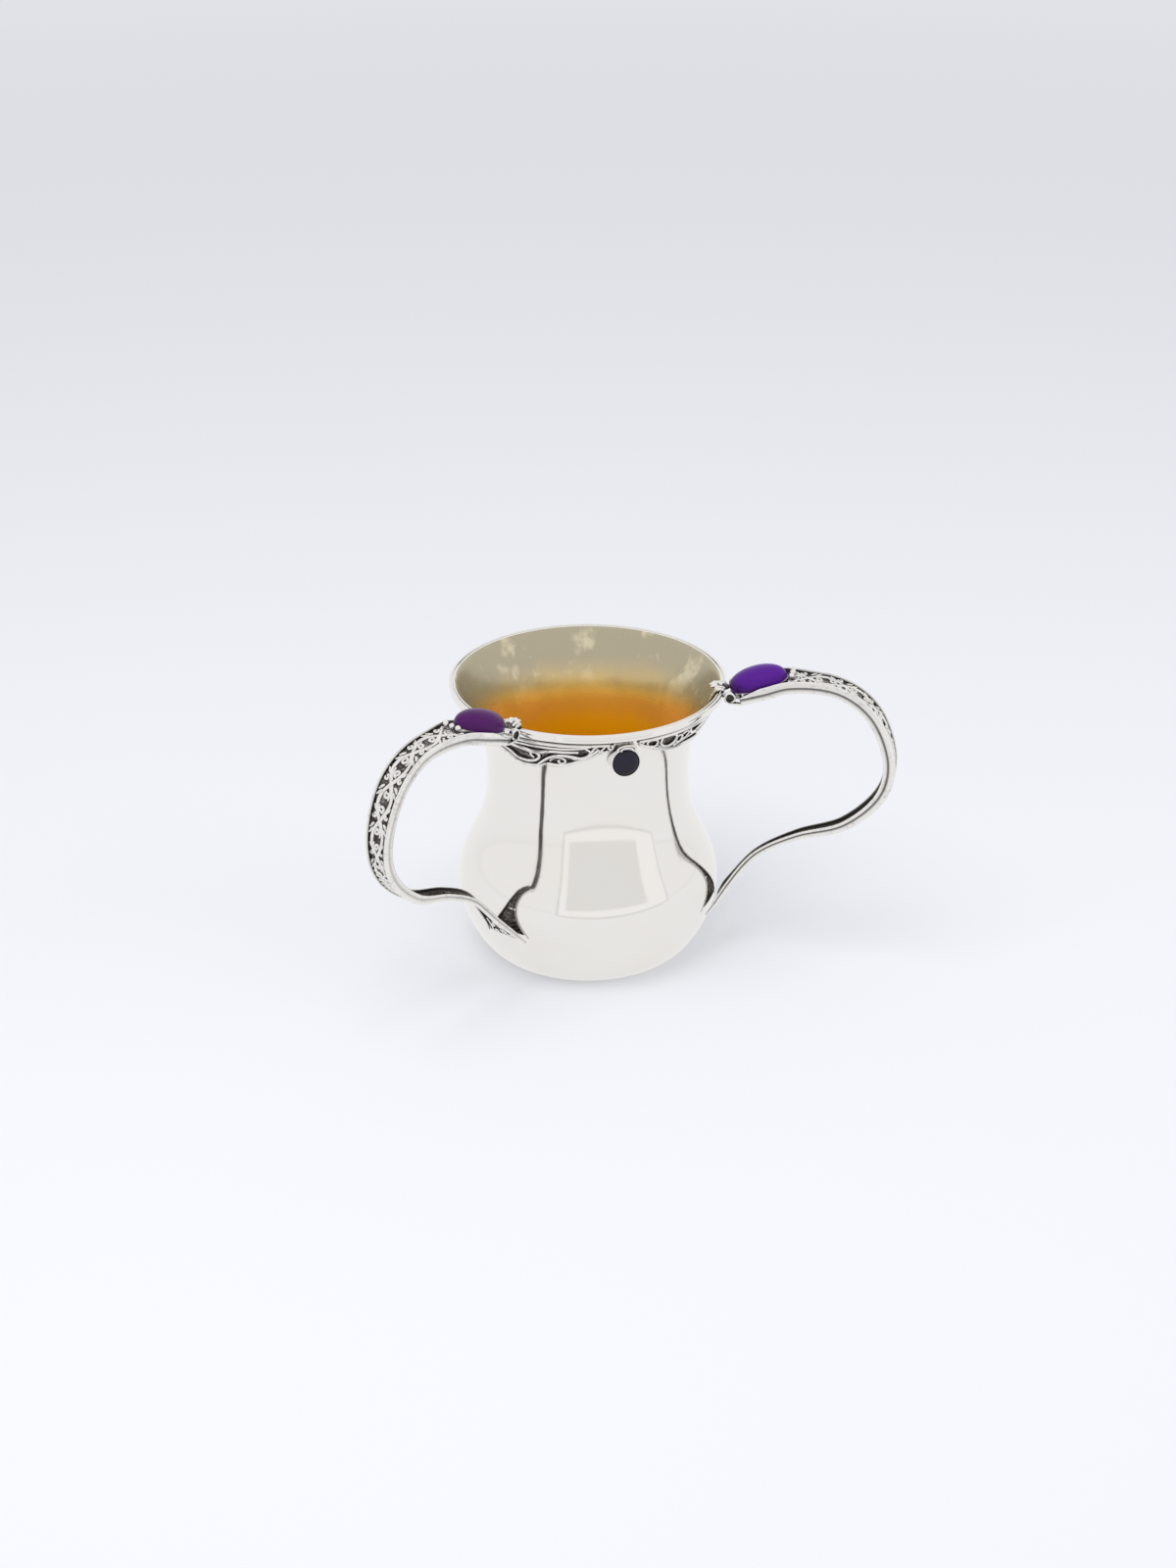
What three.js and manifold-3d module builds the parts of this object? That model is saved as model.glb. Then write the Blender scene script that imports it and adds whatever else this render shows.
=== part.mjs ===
// A two-handled silver washing cup with pierced strap handles and purple cabochons.
// Sizes are in millimetres. +Z is up, the flat base stands at z = 0 on the cup's axis,
// and the round stone under the rim looks along -Y.

import * as THREE from "three";
import { mergeVertices } from "three/addons/utils/BufferGeometryUtils.js";
import Module from "manifold-3d";

const wasm = await Module();
wasm.setup();

// Space left between pieces that are soldered together
const fitGap = 0.3;

// Cup: one spun shell, belly below, waist, and a flared lip
const rimRadius = 54;
const cupHeight = 113.7;
const baseRadius = 37;
const bellyRadius = 51.9;
const bellyHeight = 28.2;
const waistRadius = 39.7;
const waistHeight = 73;
const cupWall = 1.2;
const floorThickness = 1.6;
// How far each end of a stretch of the outline runs on, as shares of the stretch
const baseRunShare = 0.333;
const bellyBelowShare = 0.42;
const bellyAboveShare = 0.38;
const waistBelowShare = 0.5;
const waistAboveShare = 0.58;
const lipRunShares = [0.516, 0.322];
const outlineStepCount = 6;
const turnSegmentCount = 48;

// Band soldered round the outside of the lip
const bandHeight = 3;
const bandThickness = 0.8;
const lipRadius = rimRadius - bandThickness - fitGap;

// Handles: two rails with a pierced strip between them
const handleTurns = { right: -30, left: -150 };
// The grip stands off the rim band, and its widest point lies below the lip
const gripRun = 64.7;
const gripReach = rimRadius + gripRun;
const gripDrop = 24.7;
const gripHeight = cupHeight - gripDrop;
const footHeight = 22;
const railThickness = 1.3;
const railChamfer = 0.35;
const railStationCount = 34;
// How far the rim end of each strap, and its clasp, sit off the handle's middle plane,
// towards the front
const rimLeans = { right: 0, left: 4 };
const claspLeans = { right: 0, left: 6 };
const leanRunShare = 0.3;
// Middle line from the rim end to the widest point: shares of the way out and up
const upperLineShares = [
  [0.1, 0.97],
  [0.24, 1.1],
  [0.414, 1.217],
  [0.696, 1.138],
  [0.898, 0.731],
  [1, 0],
];
// Middle line from below the widest point to the foot, in the same way
const lowerLineShares = [
  [0.951, 0.762],
  [0.747, 0.56],
  [0.473, 0.462],
  [0.239, 0.327],
  [0.075, 0.124],
  [0, 0],
];
// Strap width, as shares of the width over both rails beside the stone. Beside the stone
// the first of each pair is a share of the stone's length, and beyond it of the line.
const besideWidthShares = [
  [0, 0.917],
  [0.35, 1.002],
  [0.8, 0.974],
  [1.15, 0.805],
  [1.63, 0.655],
];
const upperWidthShares = [
  [0.313, 0.613],
  [0.519, 0.442],
];
// Below the grip the front and back halves of the two hand-bent straps differ
const lowerWidthShares = {
  right: {
    front: [[0.74, 0.256], [0.83, 0.206], [0.865, 0.2], [0.9, 0.253], [0.95, 0.58], [1, 1.704]],
    back: [[0.74, 0.256], [0.83, 0.206], [0.9, 0.215], [0.95, 0.272], [1, 0.375]],
  },
  left: {
    front: [[0.74, 0.256], [0.83, 0.206], [0.865, 0.2], [0.9, 0.253], [0.95, 0.562], [1, 1.298]],
    back: [[0.74, 0.318], [0.83, 0.412], [0.9, 0.393], [0.95, 0.468], [1, 0.749]],
  },
};
// The left strap is twisted below the grip, its back edge upwards, in degrees
const lowerTwists = { right: 0, left: 17 };
const twistShares = [[0, 0], [0.6, 0], [0.7, 0.8], [0.78, 1], [0.86, 0.7], [0.93, 0], [1, 0]];
const railHeight = 5.2;
const railHeightShares = [
  [0, 1],
  [0.11, 0.94],
  [0.217, 0.88],
  [0.42, 0.92],
  [0.63, 0.77],
  [0.74, 0.62],
  [0.84, 0.52],
  [0.94, 0.46],
  [1, 0.35],
];

// The top edge of a rail comes down towards its scroll, to a share of its half height
const rimTaperShare = 0.055;
const rimTopShare = 0.1;

// Strips between the rails, with sunk openwork on a closed ground
const panelThickness = 1.2;
const panelRecess = 0.5;
const gripPanelEndShare = 0.74;
const gripPanelCellCount = 20;
const footPanelShares = [0.94, 0.99];
const footPanelCellCount = 3;
// A sunk opening's half length and half width, its slant and its depth, as shares
const openingShares = [0.34, 0.6];
const openingSlantShare = 0.14;
const openingDepthShare = 0.7;

// Scroll that each rail rolls into at the rim
const scrollRadius = 2.75;
const scrollBore = 1.1;
const scrollWidth = 2.3;
const scrollHeight = cupHeight - fitGap;
const scrollReach = rimRadius + 2 * fitGap + scrollRadius;

// Amethyst of each handle, sunk between the rails
const stoneLength = 22;
const stoneWidth = 14.2;
const stoneRise = 7.1;
const settingWall = 0.4;
const settingHeight = 2.2;
const settingFloor = 0.6;
// From the outside of the rim band to the middle of the stone
const settingRun = 13.5;
const settingReach = rimRadius + settingRun;
// Depth of its seat below the tops of the rails
const settingSinks = { right: 3.4, left: 2.5 };
// Radius and height of the dome, from the girdle up
const domeShares = [
  [1, 0],
  [1, 0.3],
  [0.96, 0.55],
  [0.86, 0.76],
  [0.68, 0.91],
  [0.4, 0.985],
  [0.15, 1],
];
// Width over both rails beside the stone
const strapWidth = stoneWidth + 2 * (2 * fitGap + settingWall + railThickness);
const ovalSideCount = 24;
// Sides of small turned pieces
const roundSideCount = 10;

// Beads beyond each amethyst
const beadRadius = 1.15;
const beadSpacing = 3;
const beadCount = 3;

// Leaf clasp over the lip at each handle
const claspThickness = 1.1;
const claspWidth = 8;
const claspDrop = 4.5;
const claspStepCount = 6;
const petalLength = 2.6;
const petalWidth = 1.4;
const petalThickness = 0.95;
const petalSpread = 34;
const petalCount = 5;

// Scroll garland under the lip, left and right of the front stone. Its drops are
// measured down the neck from the lip.
const garlandStart = 7.8;
const garlandEnd = 72;
const garlandTop = 7.6;
const garlandDrop = 20;
const garlandWire = 0.7;
// Lower border: shares of the way round and of the drop
const garlandEdgeShares = [
  [0, 0.42],
  [0.08, 0.53],
  [0.18, 0.6],
  [0.25, 0.66],
  [0.32, 0.83],
  [0.42, 0.93],
  [0.55, 1],
  [0.7, 0.985],
  [0.82, 0.9],
  [0.92, 0.81],
  [1, 0.76],
];
// Wave between the border and the top wire, in the same way
const garlandWaveShares = [
  [0, 0.42],
  [0.12, 0.375],
  [0.25, 0.66],
  [0.34, 0.6],
  [0.47, 0.66],
  [0.58, 0.7],
  [0.68, 0.97],
  [0.8, 0.78],
  [0.9, 0.58],
  [1, 0.375],
];
// Curls: way round, radius as a share, and which way they turn.
// The first list stands on the border, the second hangs from the top wire.
const curlRadius = 3.2;
const curlTurnShare = 1.3;
const curlTightShare = 0.35;
const borderCurlShares = [
  [0.4, 0.72, 1],
  [0.54, 0.78, -1],
  [0.62, 0.6, 1],
  [0.77, 0.6, -1],
  [0.9, 0.6, 1],
];
const topCurlShares = [
  [0.24, 0.45, -1],
  [0.66, 0.85, 1],
  [0.8, 0.7, -1],
];
const wireSideCount = 6;
const borderStepCount = 16;
const curlStepCount = 8;

// Round stone at the front
const frontStoneRadius = 5.2;
const frontStoneRise = 2.6;
const frontSettingDepth = 4;
// Below the lip, and off the neck at the seat's upper edge
const frontSettingDrop = 14.2;
const frontSettingStand = 0.8;
// The face dips by this share of the neck's own lean
const frontDipShare = 0.34;
const frontTurn = -3.4;
const frontLoopWidth = 7;
const frontLoopRise = 2.2;
const frontLoopWire = 0.5;
// Below the rim band
const frontLoopDrop = 1.7;

// Colours
const silver = new THREE.MeshStandardMaterial({ color: "#d9d8d4", roughness: 0.16, metalness: 1 });
const darkSilver = new THREE.MeshStandardMaterial({ color: "#8f8c88", roughness: 0.3, metalness: 1 });
const amethyst = new THREE.MeshStandardMaterial({ color: "#6b2aa6", roughness: 0.12, metalness: 0 });
const darkStone = new THREE.MeshStandardMaterial({ color: "#2f2c42", roughness: 0.15, metalness: 0 });

const degrees = THREE.MathUtils.degToRad;

// Closed solids and their joins

function toSolid(geometry) {
  const bare = geometry.clone();
  bare.deleteAttribute("normal");
  bare.deleteAttribute("uv");
  const merged = mergeVertices(bare);
  return new wasm.Manifold(
    new wasm.Mesh({
      numProp: 3,
      vertProperties: merged.attributes.position.array,
      triVerts: new Uint32Array(merged.index.array),
    }),
  );
}

function toGeometry(solid) {
  const mesh = solid.getMesh();
  const geometry = new THREE.BufferGeometry();
  geometry.setAttribute("position", new THREE.BufferAttribute(mesh.vertProperties, mesh.numProp));
  geometry.setIndex(new THREE.BufferAttribute(mesh.triVerts, 1));
  return geometry;
}

function joined(geometries) {
  return toGeometry(geometries.map(toSolid).reduce((whole, piece) => whole.add(piece)));
}

function cut(geometry, cutter) {
  return toGeometry(toSolid(geometry).subtract(toSolid(cutter)));
}

// Skin over rings of points that run anticlockwise round the way they follow
function loft(rings) {
  const count = rings[0].length;
  const last = (rings.length - 1) * count;
  const index = [];
  for (let ring = 0; ring < last; ring += count) {
    for (let i = 0; i < count; i++) {
      const next = (i + 1) % count;
      index.push(ring + i, ring + next, ring + count + next);
      index.push(ring + i, ring + count + next, ring + count + i);
    }
  }
  for (let i = 1; i + 1 < count; i++) {
    index.push(0, i + 1, i);
    index.push(last, last + i, last + i + 1);
  }
  const geometry = new THREE.BufferGeometry().setFromPoints(rings.flat());
  geometry.setIndex(index);
  return geometry;
}

function oval(halfLength, halfWidth, height) {
  const ring = [];
  for (let i = 0; i < ovalSideCount; i++) {
    const angle = (i / ovalSideCount) * 2 * Math.PI;
    ring.push(new THREE.Vector3(halfLength * Math.cos(angle), halfWidth * Math.sin(angle), height));
  }
  return ring;
}

// Solid turned about the Z axis from [radius, height] pairs
function turned(profile, segments) {
  const points = profile.map(([radius, height]) => new THREE.Vector2(radius, height));
  return new THREE.LatheGeometry(points, segments).rotateX(Math.PI / 2);
}

function wire(points, radius, steps) {
  const section = new THREE.Shape().absarc(0, 0, radius, 0, 2 * Math.PI);
  return new THREE.ExtrudeGeometry(section, {
    steps,
    curveSegments: wireSideCount / 2,
    extrudePath: new THREE.CatmullRomCurve3(points),
  });
}

// Smooth value between [place, share] pairs
function smooth(pairs, scale) {
  const places = pairs.map((pair) => pair[0]);
  const values = pairs.map((pair) => pair[1] * scale);
  const curve = new THREE.CubicInterpolant(places, values, 1);
  return (place) => curve.evaluate(place)[0];
}

// Outline of the cup

function outlineCurve() {
  const point = (radius, height) => new THREE.Vector2(radius, height);
  const belly = bellyHeight;
  const shoulder = waistHeight - bellyHeight;
  const neck = cupHeight - waistHeight;
  const path = new THREE.CurvePath();
  path.add(
    new THREE.CubicBezierCurve(
      point(baseRadius, 0),
      point(baseRadius + baseRunShare * (bellyRadius - baseRadius), 0),
      point(bellyRadius, bellyHeight - bellyBelowShare * belly),
      point(bellyRadius, bellyHeight),
    ),
  );
  path.add(
    new THREE.CubicBezierCurve(
      point(bellyRadius, bellyHeight),
      point(bellyRadius, bellyHeight + bellyAboveShare * shoulder),
      point(waistRadius, waistHeight - waistBelowShare * shoulder),
      point(waistRadius, waistHeight),
    ),
  );
  path.add(
    new THREE.CubicBezierCurve(
      point(waistRadius, waistHeight),
      point(waistRadius, waistHeight + waistAboveShare * neck),
      point(
        lipRadius - lipRunShares[0] * (lipRadius - waistRadius),
        cupHeight - lipRunShares[1] * neck,
      ),
      point(lipRadius, cupHeight),
    ),
  );
  return path;
}

const outline = outlineCurve().curves.flatMap((curve, stretch) =>
  curve.getPoints(outlineStepCount).slice(stretch ? 1 : 0),
);

function cupRadius(height) {
  const above = outline.findIndex((point) => point.y >= height);
  const upper = outline[Math.max(above, 1)];
  const lower = outline[Math.max(above, 1) - 1];
  return THREE.MathUtils.mapLinear(height, lower.y, upper.y, lower.x, upper.x);
}

// A point at a turn from the front and a run down the neck from the lip
function onNeck(turn, run, out) {
  const angle = degrees(turn - 90);
  let upper = outline.at(-1);
  let left = run;
  for (let i = outline.length - 2; i > 0 && left > upper.distanceTo(outline[i]); i--) {
    left -= upper.distanceTo(outline[i]);
    upper = outline[i];
  }
  const lower = outline[outline.indexOf(upper) - 1];
  const point = upper.clone().lerp(lower, left / upper.distanceTo(lower));
  const radius = point.x + out;
  return new THREE.Vector3(radius * Math.cos(angle), radius * Math.sin(angle), point.y);
}

// Inside of the shell, one wall in from the outline, up to the lip
function innerLine() {
  const inner = [];
  for (let i = 1; i + 1 < outline.length; i++) {
    const along = outline[i + 1].clone().sub(outline[i - 1]).normalize();
    const height = outline[i].y + along.x * cupWall;
    if (height > floorThickness) inner.push([outline[i].x - along.y * cupWall, height]);
  }
  return [...inner, [lipRadius - cupWall, cupHeight]];
}

function innerRadius(height) {
  const line = innerLine();
  const above = line.findIndex((point) => point[1] >= height);
  const [lower, upper] = line.slice(above - 1, above + 1);
  return THREE.MathUtils.mapLinear(height, lower[1], upper[1], lower[0], upper[0]);
}

function cupBody() {
  const outer = outline.map((point) => [point.x, point.y]);
  const inner = innerLine();
  const floor = [
    [inner[0][0], floorThickness],
    [0, floorThickness],
  ];
  return turned([[0, 0], ...outer, ...inner.reverse(), ...floor], turnSegmentCount);
}

function rimBand() {
  const bottom = cupHeight - bandHeight;
  const profile = [
    [cupRadius(bottom) + fitGap, bottom],
    [rimRadius, bottom],
    [rimRadius, cupHeight],
    [lipRadius + fitGap, cupHeight],
  ];
  profile.push(profile[0]);
  return turned(profile, turnSegmentCount);
}

// Space that nothing soldered to the outside of the neck may enter
function neckSpace() {
  const bottom = cupHeight - bandHeight - fitGap;
  const neck = outline.filter((point) => point.y >= waistHeight && point.y < bottom);
  return turned(
    [
      [0, waistHeight],
      ...neck.map((point) => [point.x + fitGap, point.y]),
      [cupRadius(bottom) + fitGap, bottom],
      [rimRadius + fitGap, bottom],
      [rimRadius + fitGap, cupHeight],
      [0, cupHeight],
    ],
    turnSegmentCount,
  );
}

// Handles. Each is made in its own plane: x runs out from the cup's axis, y across the strap.

class Strap {
  constructor(side) {
    const seat = cupRadius(footHeight) + fitGap + (railHeight * railHeightShares.at(-1)[1]) / 2;
    const upper = upperLineShares.map(
      ([out, up]) =>
        new THREE.Vector2(
          rimRadius + out * (gripReach - rimRadius),
          gripHeight + up * (cupHeight - gripHeight),
        ),
    );
    const lower = lowerLineShares.map(
      ([out, up]) =>
        new THREE.Vector2(
          seat + out * (gripReach - seat),
          footHeight + up * (gripHeight - footHeight),
        ),
    );
    this.line = new THREE.SplineCurve([...upper, ...lower]);
    this.front = side === "right" ? -1 : 1;
    this.lean = rimLeans[side] * this.front;
    this.twist = smooth(twistShares, degrees(lowerTwists[side]) * this.front);
    this.height = smooth(railHeightShares, railHeight);
    const stoneShare = stoneLength / this.line.getLength();
    const beside = besideWidthShares.map(([along, wide]) => [along * stoneShare, wide]);
    const { front, back } = lowerWidthShares[side];
    this.frontHalf = smooth([...beside, ...upperWidthShares, ...front], strapWidth / 2);
    this.backHalf = smooth([...beside, ...upperWidthShares, ...back], strapWidth / 2);
  }

  // Half width towards one side of the strap, 1 or -1
  half(share, side) {
    return side === this.front ? this.frontHalf(share) : this.backHalf(share);
  }

  // How far the middle of the strap stands off the handle's plane
  offset(share) {
    return this.lean * Math.max(0, 1 - share / leanRunShare) ** 2;
  }

  // Share of the line at which it first passes a distance from the cup's axis
  shareAt(reach) {
    let [low, high] = [0, 1 / 3];
    while (high - low > 1 / 2 ** 12) {
      const middle = (low + high) / 2;
      if (this.line.getPointAt(middle).x < reach) low = middle;
      else high = middle;
    }
    return high;
  }

  // A point at a share of the line, set across it and out from it, bent round the cup's axis
  point(share, across, out) {
    const middle = this.line.getPointAt(share);
    const along = this.line.getTangentAt(share);
    const turn = this.twist(share);
    const wide = across * Math.cos(turn) - out * Math.sin(turn);
    const raised = across * Math.sin(turn) + out * Math.cos(turn);
    const radius = middle.x - raised * along.y;
    const height = middle.y + raised * along.x;
    return new THREE.Vector3(Math.sqrt(radius ** 2 - wide ** 2), wide + this.offset(share), height);
  }

  // One rail: side is 1 or -1 across the strap
  rail(side) {
    const rings = [];
    for (let i = 0; i <= railStationCount; i++) {
      const share = i / railStationCount;
      const outer = this.half(share, side);
      const inner = outer - railThickness;
      const half = this.height(share) / 2;
      const top = half * Math.min(1, rimTopShare + ((1 - rimTopShare) * share) / rimTaperShare);
      const corners = [
        [outer - railChamfer, -half],
        [outer, railChamfer - half],
        [outer, top - railChamfer],
        [outer - railChamfer, top],
        [inner, top],
        [inner, -half],
      ];
      if (side < 0) corners.reverse();
      rings.push(corners.map(([across, out]) => this.point(share, side * across, out)));
    }
    return loft(rings);
  }

  // Strip between the rails, one slanted sunk opening to a cell
  panel([start, end], cells) {
    const grid = (along, across, out) => {
      const share = THREE.MathUtils.lerp(start, end, along / cells);
      const half = this.half(share, across < 0 ? -1 : 1) - railThickness - fitGap;
      const level = this.height(share) / 2 - panelRecess - out * panelThickness;
      return this.point(share, across * half, level);
    };
    const edge = [[0, -1], [0.5, -1], [1, -1], [1, 0], [1, 1], [0.5, 1], [0, 1], [0, 0]];
    const points = [];
    const quad = (a, b, c, d) => points.push(a, b, c, a, c, d);
    const fan = (ring) => {
      for (let i = 2; i < ring.length; i++) points.push(ring[0], ring[i - 1], ring[i]);
    };
    for (let cell = 0; cell < cells; cell++) {
      const slant = cell % 2 ? openingSlantShare : -openingSlantShare;
      const border = [0, 1].map((out) =>
        edge.map(([along, across]) => grid(cell + along, across, out)),
      );
      const hole = [0, openingDepthShare].map((out) =>
        edge.map((corner, i) => {
          const angle = ((i - 3) / edge.length) * 2 * Math.PI;
          const along = openingShares[0] * Math.cos(angle);
          const across = openingShares[1] * Math.sin(angle);
          return grid(cell + 1 / 2 + along + slant * across, across, out);
        }),
      );
      fan(hole[1]);
      fan([...border[1]].reverse());
      for (let i = 0; i < edge.length; i++) {
        const next = (i + 1) % edge.length;
        quad(border[0][i], border[0][next], hole[0][next], hole[0][i]);
        quad(hole[0][i], hole[0][next], hole[1][next], hole[1][i]);
        const atEnd = edge[i][0] === 1 && edge[next][0] === 1;
        const atStart = edge[i][0] === 0 && edge[next][0] === 0;
        if ((atEnd && cell + 1 < cells) || (atStart && cell > 0)) continue;
        quad(border[1][i], border[1][next], border[0][next], border[0][i]);
      }
    }
    return mergeVertices(new THREE.BufferGeometry().setFromPoints(points));
  }
}

// Scroll at the rim end of one rail, and the space that it takes out of the rail
function scroll(strap, side) {
  const outer = side * strap.half(0, side) + strap.offset(0);
  const inner = outer - side * scrollWidth;
  const reach = Math.sqrt(scrollReach ** 2 - inner ** 2);
  const [start, end] = side > 0 ? [inner, outer] : [outer, inner];
  const lathe = (profile) =>
    new THREE.LatheGeometry(
      profile.map(([out, along]) => new THREE.Vector2(out, along)),
      roundSideCount,
    ).translate(reach, 0, scrollHeight);
  const ring = lathe([
    [scrollBore, start],
    [scrollRadius, start],
    [scrollRadius, end],
    [scrollBore, end],
    [scrollBore, start],
  ]);
  const around = scrollRadius + fitGap;
  const space = lathe([
    [0, start - railThickness],
    [around, start - railThickness],
    [around, end + railThickness],
    [0, end + railThickness],
  ]);
  return { ring, space };
}

// Oval cup with an open top, and the cabochon that stands in it
function setting(halfLength, halfWidth, height) {
  const length = halfLength + fitGap;
  const width = halfWidth + fitGap;
  return loft([
    oval(length + settingWall, width + settingWall, 0),
    oval(length + settingWall, width + settingWall, height),
    oval(length, width, height),
    oval(length, width, settingFloor),
  ]);
}

function cabochon(halfLength, halfWidth, rise, base) {
  return loft(
    domeShares.map(([out, up]) => oval(halfLength * out, halfWidth * out, base + rise * up)),
  );
}

// Leaf clasp: a strip bent over the lip, with petals fanned over its top and inner leg
function clasp(aside) {
  const inside = lipRadius - cupWall - fitGap;
  const top = cupHeight + fitGap;
  const foot = innerRadius(cupHeight - claspDrop) - fitGap;
  const section = new THREE.Shape([
    new THREE.Vector2(rimRadius, top),
    new THREE.Vector2(rimRadius, top + claspThickness),
    new THREE.Vector2(inside, top + claspThickness),
    new THREE.Vector2(inside - claspThickness, top),
    new THREE.Vector2(foot - claspThickness, cupHeight - claspDrop),
    new THREE.Vector2(foot, cupHeight - claspDrop),
    new THREE.Vector2(inside, cupHeight),
    new THREE.Vector2(inside, top),
  ]);
  const strip = new THREE.ExtrudeGeometry(section, {
    depth: claspWidth,
    steps: claspStepCount,
    bevelEnabled: false,
  });
  strip.rotateX(Math.PI / 2);
  strip.translate(0, claspWidth / 2, 0);
  const places = strip.attributes.position;
  for (let i = 0; i < places.count; i++) {
    places.setX(i, Math.sqrt(places.getX(i) ** 2 - places.getY(i) ** 2));
  }
  const pieces = [strip];
  for (let i = 0; i < petalCount; i++) {
    const petal = new THREE.SphereGeometry(1, roundSideCount, roundSideCount / 2);
    petal.scale(petalLength, petalWidth, petalThickness);
    petal.translate(-petalLength, 0, 0);
    petal.rotateZ(degrees(petalSpread * (i - (petalCount - 1) / 2)));
    petal.translate(inside + petalLength / 2, 0, top + claspThickness);
    pieces.push(petal);
  }
  return joined(pieces).rotateZ(Math.asin(aside / rimRadius));
}

function handle(side) {
  const group = new THREE.Group();
  group.rotation.z = degrees(handleTurns[side]);
  const strap = new Strap(side);
  const add = (name, geometry, material, parent = group) => {
    const mesh = new THREE.Mesh(geometry, material);
    mesh.name = side + "_" + name;
    parent.add(mesh);
    return mesh;
  };

  for (const [place, across] of [
    ["front", strap.front],
    ["back", -strap.front],
  ]) {
    const { ring, space } = scroll(strap, across);
    add(place + "_rail", cut(strap.rail(across), space), silver);
    add(place + "_scroll", ring, silver);
  }
  add("rim_clasp", clasp(strap.front * claspLeans[side]), darkSilver);

  const middle = strap.shareAt(settingReach);
  const slope = strap.line.getTangentAt(middle);
  const halfLength = stoneLength / 2;
  const halfWidth = stoneWidth / 2;
  const settingEnd = (halfLength + fitGap + settingWall) * slope.x;
  const panelStart = strap.shareAt(settingReach + settingEnd + fitGap);
  const seat = new THREE.Group();
  seat.position.copy(strap.point(middle, 0, strap.height(middle) / 2 - settingSinks[side]));
  const lean = strap.offset(0) - strap.offset(panelStart);
  seat.rotation.set(0, -Math.atan2(slope.y, slope.x), -Math.atan2(lean, 2 * settingEnd), "ZYX");
  group.add(seat);
  add("stone_setting", setting(halfLength, halfWidth, settingHeight), silver, seat);
  const stone = cabochon(halfLength, halfWidth, stoneRise, settingFloor + fitGap);
  add("amethyst", stone, amethyst, seat);

  const gripPanel = [panelStart, gripPanelEndShare];
  add("filigree_strip", strap.panel(gripPanel, gripPanelCellCount), darkSilver);
  add("foot_filigree", strap.panel(footPanelShares, footPanelCellCount), darkSilver);

  const beadShare = panelStart + beadRadius / strap.line.getLength();
  const level = strap.height(beadShare) / 2 - panelRecess + fitGap + beadRadius;
  for (let i = 0; i < beadCount; i++) {
    const ball = new THREE.SphereGeometry(beadRadius, roundSideCount, roundSideCount / 2);
    const bead = add("bead_" + (i + 1), ball, silver);
    bead.position.copy(strap.point(beadShare, (i - (beadCount - 1) / 2) * beadSpacing, level));
  }
  return group;
}

// Garland: a border wire with curls between it and the band

function garland(side) {
  const sense = side === "right" ? 1 : -1;
  const start = sense * garlandStart + frontTurn;
  const place = (round, run) =>
    onNeck(
      THREE.MathUtils.lerp(start, sense * garlandEnd, round),
      run,
      fitGap + garlandWire,
    );
  const border = smooth(garlandEdgeShares, garlandDrop);
  const run = (pairs) => pairs.map(([round, drop]) => place(round, drop * garlandDrop));
  const top = garlandEdgeShares.map(([round]) => place(round, garlandTop));
  const pieces = [run(garlandEdgeShares), run(garlandWaveShares), top].map((points) =>
    wire(points, garlandWire, borderStepCount),
  );
  const girth = degrees(garlandEnd - garlandStart) * lipRadius;
  const curl = (round, drop, start, size, turn) => {
    const points = [];
    for (let i = 0; i <= curlStepCount; i++) {
      const share = i / curlStepCount;
      const radius = size * THREE.MathUtils.lerp(1, curlTightShare, share);
      const angle = start + turn * share * curlTurnShare * 2 * Math.PI;
      const aside = (radius * Math.cos(angle)) / girth;
      points.push(place(round + aside, drop - radius * Math.sin(angle)));
    }
    pieces.push(wire(points, garlandWire, curlStepCount));
  };
  for (const [round, share, turn] of borderCurlShares) {
    const size = curlRadius * share;
    curl(round, border(round) - size, -Math.PI / 2, size, turn);
  }
  for (const [round, share, turn] of topCurlShares) {
    const size = curlRadius * share;
    curl(round, garlandTop + size, Math.PI / 2, size, turn);
  }
  return joined(pieces);
}

// Front stone in its round setting, hung under the band

function frontStone() {
  const outside = frontStoneRadius + fitGap + settingWall;
  const height = cupHeight - frontSettingDrop;
  const flare = cupRadius(height + outside) - cupRadius(height - outside);
  const lean = Math.atan2(flare, 2 * outside);
  const dip = lean * frontDipShare;
  const reach = cupRadius(height) + outside * Math.tan(lean - dip) + frontSettingStand;
  const turn = new THREE.Matrix4().makeRotationZ(degrees(frontTurn));
  const place = turn
    .clone()
    .multiply(new THREE.Matrix4().makeTranslation(0, -reach, height))
    .multiply(new THREE.Matrix4().makeRotationX(Math.PI / 2 + dip));
  const whole = setting(frontStoneRadius, frontStoneRadius, settingHeight);
  whole.applyMatrix4(place);
  const back = loft([oval(outside, outside, -frontSettingDepth), oval(outside, outside, 0)]);
  back.applyMatrix4(place);
  const bezel = cut(joined([whole, back]), neckSpace());
  const stone = cabochon(
    frontStoneRadius,
    frontStoneRadius,
    frontStoneRise,
    settingFloor + fitGap,
  );
  stone.applyMatrix4(place);
  const loop = new THREE.TorusGeometry(
    frontLoopRise / 2,
    frontLoopWire,
    wireSideCount,
    ovalSideCount,
  );
  loop.scale(frontLoopWidth / frontLoopRise, 1, 1);
  loop.rotateX(Math.PI / 2);
  const loopTop = cupHeight - bandHeight - frontLoopDrop;
  const loopHeight = loopTop - frontLoopWire - frontLoopRise / 2;
  loop.translate(0, -cupRadius(loopTop) - fitGap - frontLoopWire, loopHeight);
  loop.applyMatrix4(turn);
  return { bezel, stone, loop };
}

// Assembly

const cup = new THREE.Group();

function addPiece(name, geometry, material) {
  const mesh = new THREE.Mesh(geometry, material);
  mesh.name = name;
  cup.add(mesh);
}

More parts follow.
